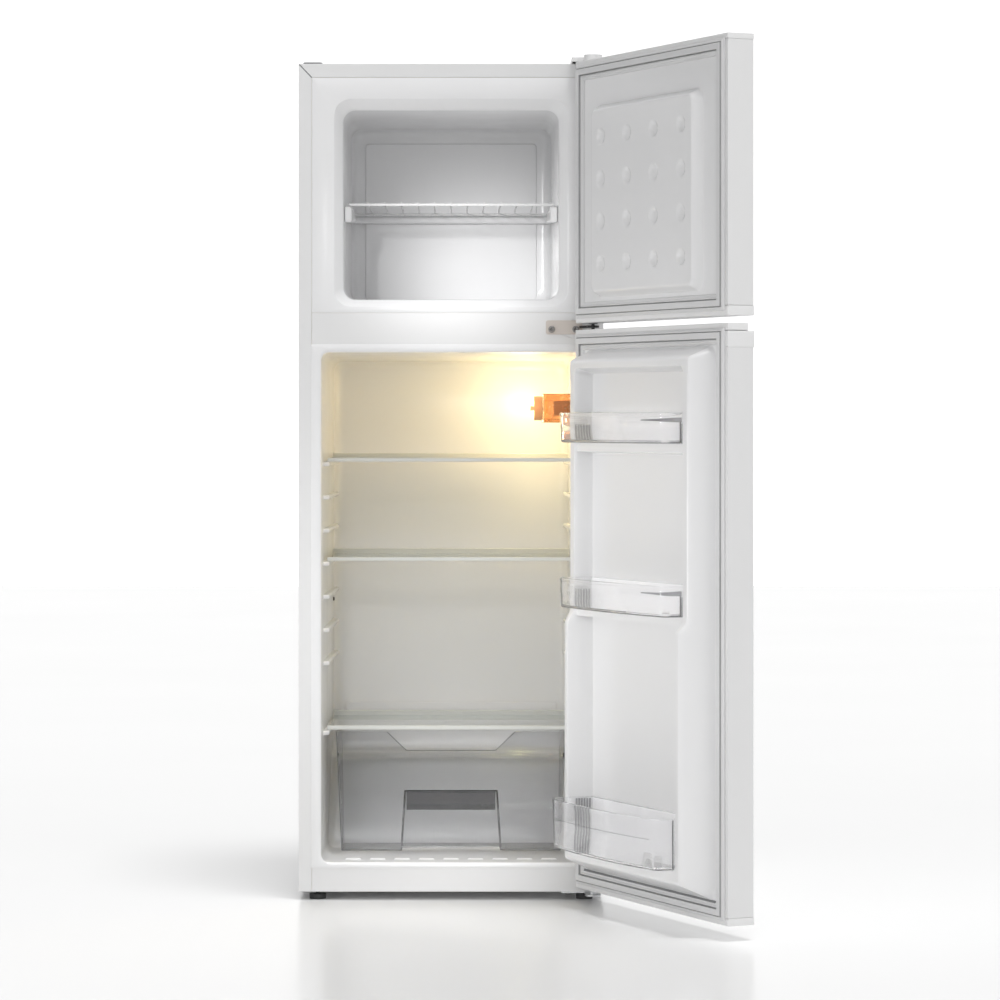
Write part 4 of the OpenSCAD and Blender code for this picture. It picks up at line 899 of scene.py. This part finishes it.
def door_gasket(name, door, body, replaced):
    """Gasket all round a door in one piece, and its grooves, painted dark as their shade, in another."""
    rings = []
    for inset, height in GASKET_SECTION:
        half = HALF_W - inset
        z0, z1 = door["z0"] + inset, door["z1"] - inset
        y = DOOR_IN_Y + height
        rings.append([(half, y, z0), (half, y, z1), (-half, y, z1), (-half, y, z0)])
    starts = [0] + [end for _, end in GROOVES]
    ends = [start for start, _ in GROOVES] + [len(rings) - 1]
    lips = [loft(rings[a:b + 1]) for a, b in zip(starts, ends)] + [loft([rings[-1], rings[0]])]
    grooves = [loft(rings[a:b + 1]) for a, b in GROOVES]
    add_piece(name, merge(*lips), "gasket", body, (replaced,), swing=True)
    add_piece(name + "_groove_shades", merge(*grooves), "groove_shade", body, swing=True)


freezer_door_liner()
fridge_door_liner()
door_gasket("freezer_gasket", FREEZER_DOOR, "freezer_door", "freezer_door_gasket")
door_gasket("fridge_gasket", FRIDGE_DOOR, "fridge_door", "fridge_door_gasket")

# ---------- Door bins and crisper drawer ----------

BIN_BACK_HALF = 0.1862
BIN_HALF = 0.1935
BIN_BACK_Y = DOOR_IN_Y + 0.011
BIN_BEND_Y = DOOR_IN_Y + 0.042
BIN_CORNER = 0.018
BIN_CREASE_AT = 0.50
# The slots lie in these columns of faces, and between these rings of points outside and inside
SLOT_START_Y = DOOR_IN_Y + 0.020
SLOT_COLUMNS = (1, 3)
SLOT_ROWS = (5, 13)
SLOT_LOW, SLOT_TOP = 0.016, 0.010
# How far from the door's inner face the dyke hides each kind of bin, which is where the painted dark upright line
# goes, and where the plain one's fine painted dark line lies between its bottom and its rim
SLOTTED_CREST = 0.0445
PLAIN_CREST = 0.0585
PLAIN_LINE_AT = 0.60


def bin_side(inset, front, bow):
    """Right side of a bin from its back corner, past the bend, round the front corner."""
    half = BIN_HALF - inset
    radius = (BIN_HALF**2 + bow**2) / (2 * bow)
    apex = DOOR_IN_Y + front + bow - inset

    def front_y(x):
        return apex - radius + math.sqrt(radius**2 - x * x)

    r = BIN_CORNER
    side_end = front_y(half - r) - r
    back = (BIN_BACK_HALF - inset, BIN_BACK_Y + inset)
    part = (SLOT_START_Y - back[1]) / (BIN_BEND_Y - back[1])
    points = [back, (mix(back[0], half, part), SLOT_START_Y), (half, BIN_BEND_Y)]
    for i in range(9):
        a = math.radians(90 * i / 8)
        points.append((half - r + r * math.cos(a), side_end + r * math.sin(a)))
    return points, front_y


def bin_loop(inset, front, bow, z):
    """Closed loop round a bin: straight back, drawn-in sides, bowed front with soft corners."""
    right, front_y = bin_side(inset, front, bow)
    start = right[-1][0]
    steps = 14
    arc = [(x, front_y(x)) for x in (start * (1 - 2 * i / steps) for i in range(1, steps))]
    left = [(-x, y) for x, y in reversed(right)]
    return [(x, y, z) for x, y in right + arc + left]


def cut_slots(faces, count):
    """Opens a slot through both side walls of a bin whose loops have count points."""
    first, last = SLOT_COLUMNS
    outer, inner = SLOT_ROWS

    def at(row, column):
        return row * count + column

    for lo, hi in ((first, last), (count - 1 - last, count - 1 - first)):
        gone = {(at(row, i), at(row, i + 1), at(row + 1, i + 1), at(row + 1, i))
                for row in SLOT_ROWS for i in range(lo, hi)}
        faces[:] = [f for f in faces if f not in gone]
        for i in range(lo, hi):
            for a, b in ((outer, inner + 1), (outer + 1, inner)):
                faces.append((at(a, i), at(a, i + 1), at(b, i + 1), at(b, i)))
        for i in (lo, hi):
            faces.append((at(outer, i), at(outer + 1, i), at(inner, i), at(inner + 1, i)))


def door_bin(name, node, body, front, bow, slotted):
    """Clear bin with its ribs, greyed as painted shade, and painted dark lines on its edges. A slotted one also
    has a grip round its free corner.
    """
    lo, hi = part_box(node)
    z0, z1 = lo.z, hi.z
    crease = mix(z0, z1, BIN_CREASE_AT)
    slot = (z1 - SLOT_LOW, z1 - SLOT_TOP)
    # Inset and height of each loop: up the outside, over the rim and down the inside
    profile = [
        (0.0060, z0), (0.0028, z0 + 0.0008), (0.0016, z0 + 0.003), (0.0012, crease - 0.0008),
        (0.0006, crease + 0.0008), (0.0005, slot[0]), (0.0004, slot[1]), (0.0004, z1 - 0.006),
        (0.0, z1 - 0.0045), (0.0, z1 - 0.0008), (0.0008, z1), (0.0024, z1), (0.0032, z1 - 0.0008),
        (0.0032, slot[1]), (0.0031, slot[0]), (0.0030, crease + 0.0008), (0.0036, crease - 0.0008),
        (0.0040, z0 + 0.006), (0.0060, z0 + 0.003), (0.0090, z0 + 0.0024),
    ]
    loops = [bin_loop(inset, front, bow, z) for inset, z in profile]
    verts, faces = loft(loops, True, True)
    if slotted:
        cut_slots(faces, len(loops[0]))
        rib_top, edge_top, crest, line = slot[0] - 0.003, slot[0] - 0.001, SLOTTED_CREST, None
    else:
        rib_top, edge_top, crest, line = z1 - 0.003, z1 - 0.002, PLAIN_CREST, mix(z0, z1, PLAIN_LINE_AT)
    add_piece(name, (verts, faces), "clear_plastic", body, (node,), swing=True)
    bin_ribs(name + "_ribs", body, front, bow, z0 + 0.004, rib_top)
    bin_edge_shades(name + "_edge_shades", body, front, bow, crest, z0 + 0.002, edge_top, line)
    if slotted:
        bin_grip(name + "_grip", body, front, bow, (slot[0] + slot[1]) / 2)


RIB_COUNT = 6
RIB_SHIFT = 0.6
RIB_HALF_WIDTH = 0.0017
RIB_RISE = 0.0018


def bin_ribs(name, body, front, bow, z0, z1):
    """Upright ribs inside both drawn-in sides, greyer than the bin as painted shade."""
    points, _ = bin_side(0.0030, front, bow)
    start, end = points[0], points[2]
    turns = [math.radians(-110 + 220 * k / 8) for k in range(9)]
    parts = []
    for i in range(RIB_COUNT):
        x, y = (mix(a, b, (i + RIB_SHIFT) / RIB_COUNT) for a, b in zip(start, end))
        for side in (-1, 1):
            outline = [(side * (x - RIB_RISE * math.cos(t)), y + RIB_HALF_WIDTH * math.sin(t)) for t in turns]
            parts.append(prism(outline, z0, z1))
    add_piece(name, merge(*parts), "rib_shade_plastic", body, swing=True)


EDGE_WIDTH = 0.0014
# The fine painted dark line's half height, and its points in X from right to left
LINE_HALF = 0.0003
LINE_START, LINE_STEP, LINE_POINTS = 0.172, 0.0215, 17


def bin_edge_shades(name, body, front, bow, crest, z0, z1, line):
    """Painted dark lines, shade standing in for the dark look of clear plastic's edges: an upright one where the
    free end rises past the door's ridge, and a fine one along the front.
    """
    outer_x, inner_x, y = -BIN_HALF - 0.0006, -BIN_HALF + 0.0005, DOOR_IN_Y + crest
    edge = [(outer_x, y), (inner_x, y), (inner_x, y + EDGE_WIDTH), (outer_x, y + EDGE_WIDTH)]
    parts = [prism(edge, z0, z1)]
    if line:
        outer, inner = (bin_side(inset, front, bow)[1] for inset in (0.0001, 0.0010))
        low, top = line - LINE_HALF, line + LINE_HALF
        along = [LINE_START - LINE_STEP * i for i in range(LINE_POINTS)]
        rings = [
            [(x, inner(x), low), (x, outer(x), low), (x, outer(x), top), (x, inner(x), top)]
            for x in along
        ]
        parts.append(loft(rings, True, True))
    add_piece(name, merge(*parts), "dark_edge_shade", body, swing=True)


# The grip starts at these distances from the middle, and its half height grows to the second one
GRIP_START = (0.128, 0.139, 0.150, 0.162)
GRIP_H = (0.0011, 0.0040)
GRIP_CREST = 0.8


def bin_grip(name, body, front, bow, z):
    """Tapered ridge that runs along the front and round the free corner."""
    def path(inset):
        right, front_y = bin_side(inset, front, bow)
        run = [(-x, front_y(x)) for x in GRIP_START] + [(-x, y) for x, y in reversed(right[3:])]
        return run + [(-right[2][0], BIN_BEND_Y + 0.001)]

    outside, inside = path(-0.0012), path(0.0002)
    rings = []
    for k, (out, inn) in enumerate(zip(outside, inside)):
        h = mix(*GRIP_H, k / (len(outside) - 1))
        rings.append([(*inn, z - h), (*out, z - h * GRIP_CREST), (*out, z + h * GRIP_CREST), (*inn, z + h)])
    add_piece(name, loft(rings, True, True), "dark_clear_plastic", body, swing=True)


# Hand recess in the drawer's front and notch in its top edge: half widths, heights and depth
PULL_LOW = 0.089
PULL_TOP = 0.082
PULL_H = 0.107
PULL_DEPTH = 0.042
PULL_DROP = 0.036
NOTCH_TOP = 0.116
NOTCH_LOW = 0.0815
NOTCH_H = 0.034
# Width of the painted dark edge lines, and how far they stand proud
SHADE_LINE_WIDTH = 0.0012
SHADE_LINE_PROUD = 0.0006


def shade_line_run(path, y):
    """Straight painted dark lines from point to point of a path in X and Z."""
    parts = []
    for (ax, az), (bx, bz) in zip(path, path[1:]):
        along = math.hypot(bx - ax, bz - az)
        nx, nz = -(bz - az) / along * SHADE_LINE_WIDTH / 2, (bx - ax) / along * SHADE_LINE_WIDTH / 2
        outline = [(ax + nx, az + nz), (ax - nx, az - nz), (bx - nx, bz - nz), (bx + nx, bz + nz)]
        parts.append(prism(outline, y - SHADE_LINE_PROUD, y + SHADE_LINE_PROUD, "y"))
    return parts


def drawer_edge_shades():
    """Fine painted dark lines round the drawer's front, its hand recess and the notch in its top edge: shade
    standing in for the dark look of its clear edges.
    """
    lo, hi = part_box("crisper_drawer")
    low_half, top_half = 0.1988, hi.x - 0.0006
    base, rim = lo.z + 0.0008, hi.z - 0.001
    parts = []
    for s in (-1, 1):
        outline = [(s * top_half, rim), (s * low_half, base), (s * (PULL_LOW + 0.002), base),
                   (s * PULL_TOP, lo.z + PULL_H)]
        parts += shade_line_run(outline, lo.y)
    notch = [(NOTCH_TOP, rim), (NOTCH_LOW, hi.z - NOTCH_H)]
    parts += shade_line_run([(-x, z) for x, z in notch] + notch[::-1], lo.y)
    add_piece("drawer_edge_shades", merge(*parts), "dark_edge_shade", "crisper")


def drawer_pull_shade():
    """Dark strip under the sloping roof of the drawer's hand recess: painted shade of the recess roof."""
    thick, gap, half = 0.001, 0.0005, PULL_TOP - 0.001
    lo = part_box("crisper_drawer")[0]
    roof = lo.z + PULL_H - gap
    (y0, z0), (y1, z1) = (lo.y + 0.0045, roof), (lo.y + PULL_DEPTH, roof - PULL_DROP)
    outline = [(y0, z0), (y1, z1), (y1, z1 - thick), (y0, z0 - thick)]
    add_piece("drawer_pull_shade", prism(outline, -half, half, "x"), "dark_clear_plastic", "crisper")


def door_channel_shadow():
    """Dark strip in the corner between the lower run of the gasket and the fridge door's liner: a painted shadow
    line.
    """
    half = HALF_W - 0.037
    low, top = FRIDGE_DOOR["z0"] + 0.0342, FRIDGE_DOOR["z0"] + 0.0378
    outline = [(DOOR_IN_Y + 0.0001, low), (DOOR_IN_Y + 0.0028, low), (DOOR_IN_Y + 0.0012, top),
               (DOOR_IN_Y + 0.0001, top)]
    add_piece("door_channel_shadow", prism(outline, -half, half, "x"), "grey_plastic", "fridge_door", swing=True)


drawer_edge_shades()
drawer_pull_shade()
door_channel_shadow()
door_bin("upper_bin_shell", "upper_door_bin", "upper_bin", 0.076, 0.012, True)
door_bin("middle_bin_shell", "middle_door_bin", "middle_bin", 0.076, 0.012, True)
door_bin("lower_bin_shell", "lower_door_bin", "lower_bin", 0.090, 0.015, False)

# ---------- CAD pieces that stay, with soft edges and their materials ----------

BEVELS = {
    "outer_shell": 0.0012, "back_panel": 0.0004, "base_pan": 0.0003, "centre_rail": 0.0005,
    "freezer_door_skin": 0.0025, "fridge_door_skin": 0.0025, "freezer_door_top_cap": 0.0022,
    "freezer_door_bottom_cap": 0.0022, "fridge_door_top_cap": 0.0022, "fridge_door_bottom_cap": 0.0022,
    "top_hinge_cover": 0.0030, "hinge_hole_cover": 0.0008, "middle_hinge_bracket": 0.0004,
    "bottom_hinge_bracket": 0.0004, "top_hinge_bracket": 0.0004, "upper_shelf_trim": 0.0006,
    "lower_shelf_trim": 0.0006, "crisper_cover_trim": 0.0006, "crisper_drawer": 0.0009,
    "upper_shelf_glass": 0.0006, "lower_shelf_glass": 0.0006, "crisper_cover_glass": 0.0006,
    "lamp_housing": 0.0018, "lamp_base": 0.0008, "thermostat_knob": 0.0012, "front_foot_left": 0.0012,
    "front_foot_right": 0.0012, "rear_roller_left": 0.0010, "rear_roller_right": 0.0010,
    "drip_tray": 0.0012, "relay_cover": 0.0025, "compressor": 0.0010, "compressor_carrier": 0.0005,
    "door_switch_button": 0.0008,
}
# Looks that differ from the record's material
LOOK_OF = {
    "hinge_screws": "screw_steel", "thermostat_knob": "knob_plastic", "crisper_drawer": "smoke_plastic",
    "middle_hinge_bracket": "hinge_paint", "upper_shelf_trim": "trim_plastic",
    "lower_shelf_trim": "trim_plastic", "crisper_cover_trim": "trim_plastic",
}
SLOT_OF = {row["node"]: row["material_slot"] for row in frame["record"]["subparts"]}
WELD_DISTANCE = 0.00002
# The foam draws back, so that it shows through none of the modelled liners
CABINET_FOAM_SHRINK = 0.0015
DOOR_FOAM_SHRINK = 0.0035


def dress_cad_nodes():
    for name, obj in nodes.items():
        obj.data.materials.clear()
        obj.data.materials.append(MATERIALS[LOOK_OF.get(name, SLOT_OF[name])])
        weld = obj.modifiers.new("weld", "WELD")
        weld.merge_threshold = WELD_DISTANCE
        if name in BEVELS:
            bevel(obj, BEVELS[name])
            smooth = obj.modifiers.new("soft", "WEIGHTED_NORMAL")
            smooth.keep_sharp = True
        if name.endswith("foam"):
            shrink = obj.modifiers.new("shrink", "DISPLACE")
            shrink.strength = -CABINET_FOAM_SHRINK if name == "cabinet_foam" else -DOOR_FOAM_SHRINK
            shrink.mid_level = 0.0
        smooth_shading(obj)


dress_cad_nodes()

# ---------- Lamp light ----------

LAMP_COLOUR = (1.0, 0.79, 0.40)
LAMP_POWER = 0.46
GLOW_POWER = 0.36
SPILL_POWER = 0.10


def lamp_light(name, at, power, size):
    data = bpy.data.lights.new(name, "POINT")
    data.color = LAMP_COLOUR
    data.energy = power
    data.shadow_soft_size = size
    obj = bpy.data.objects.new(name, data)
    obj.location = at
    scene.collection.objects.link(obj)


def lamp_lights():
    """Warm light of the lamp: behind its housing, beside it and below it."""
    lo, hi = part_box("lamp_housing")
    mid_z = (lo.z + hi.z) / 2
    lamp_light("lamp", (lo.x - 0.028, hi.y + 0.030, mid_z), LAMP_POWER, 0.03)
    lamp_light("lamp_glow", (lo.x - 0.065, lo.y + 0.060, mid_z), GLOW_POWER, 0.05)
    lamp_light("lamp_spill", (lo.x - 0.010, hi.y + 0.010, lo.z - 0.140), SPILL_POWER, 0.04)


lamp_lights()
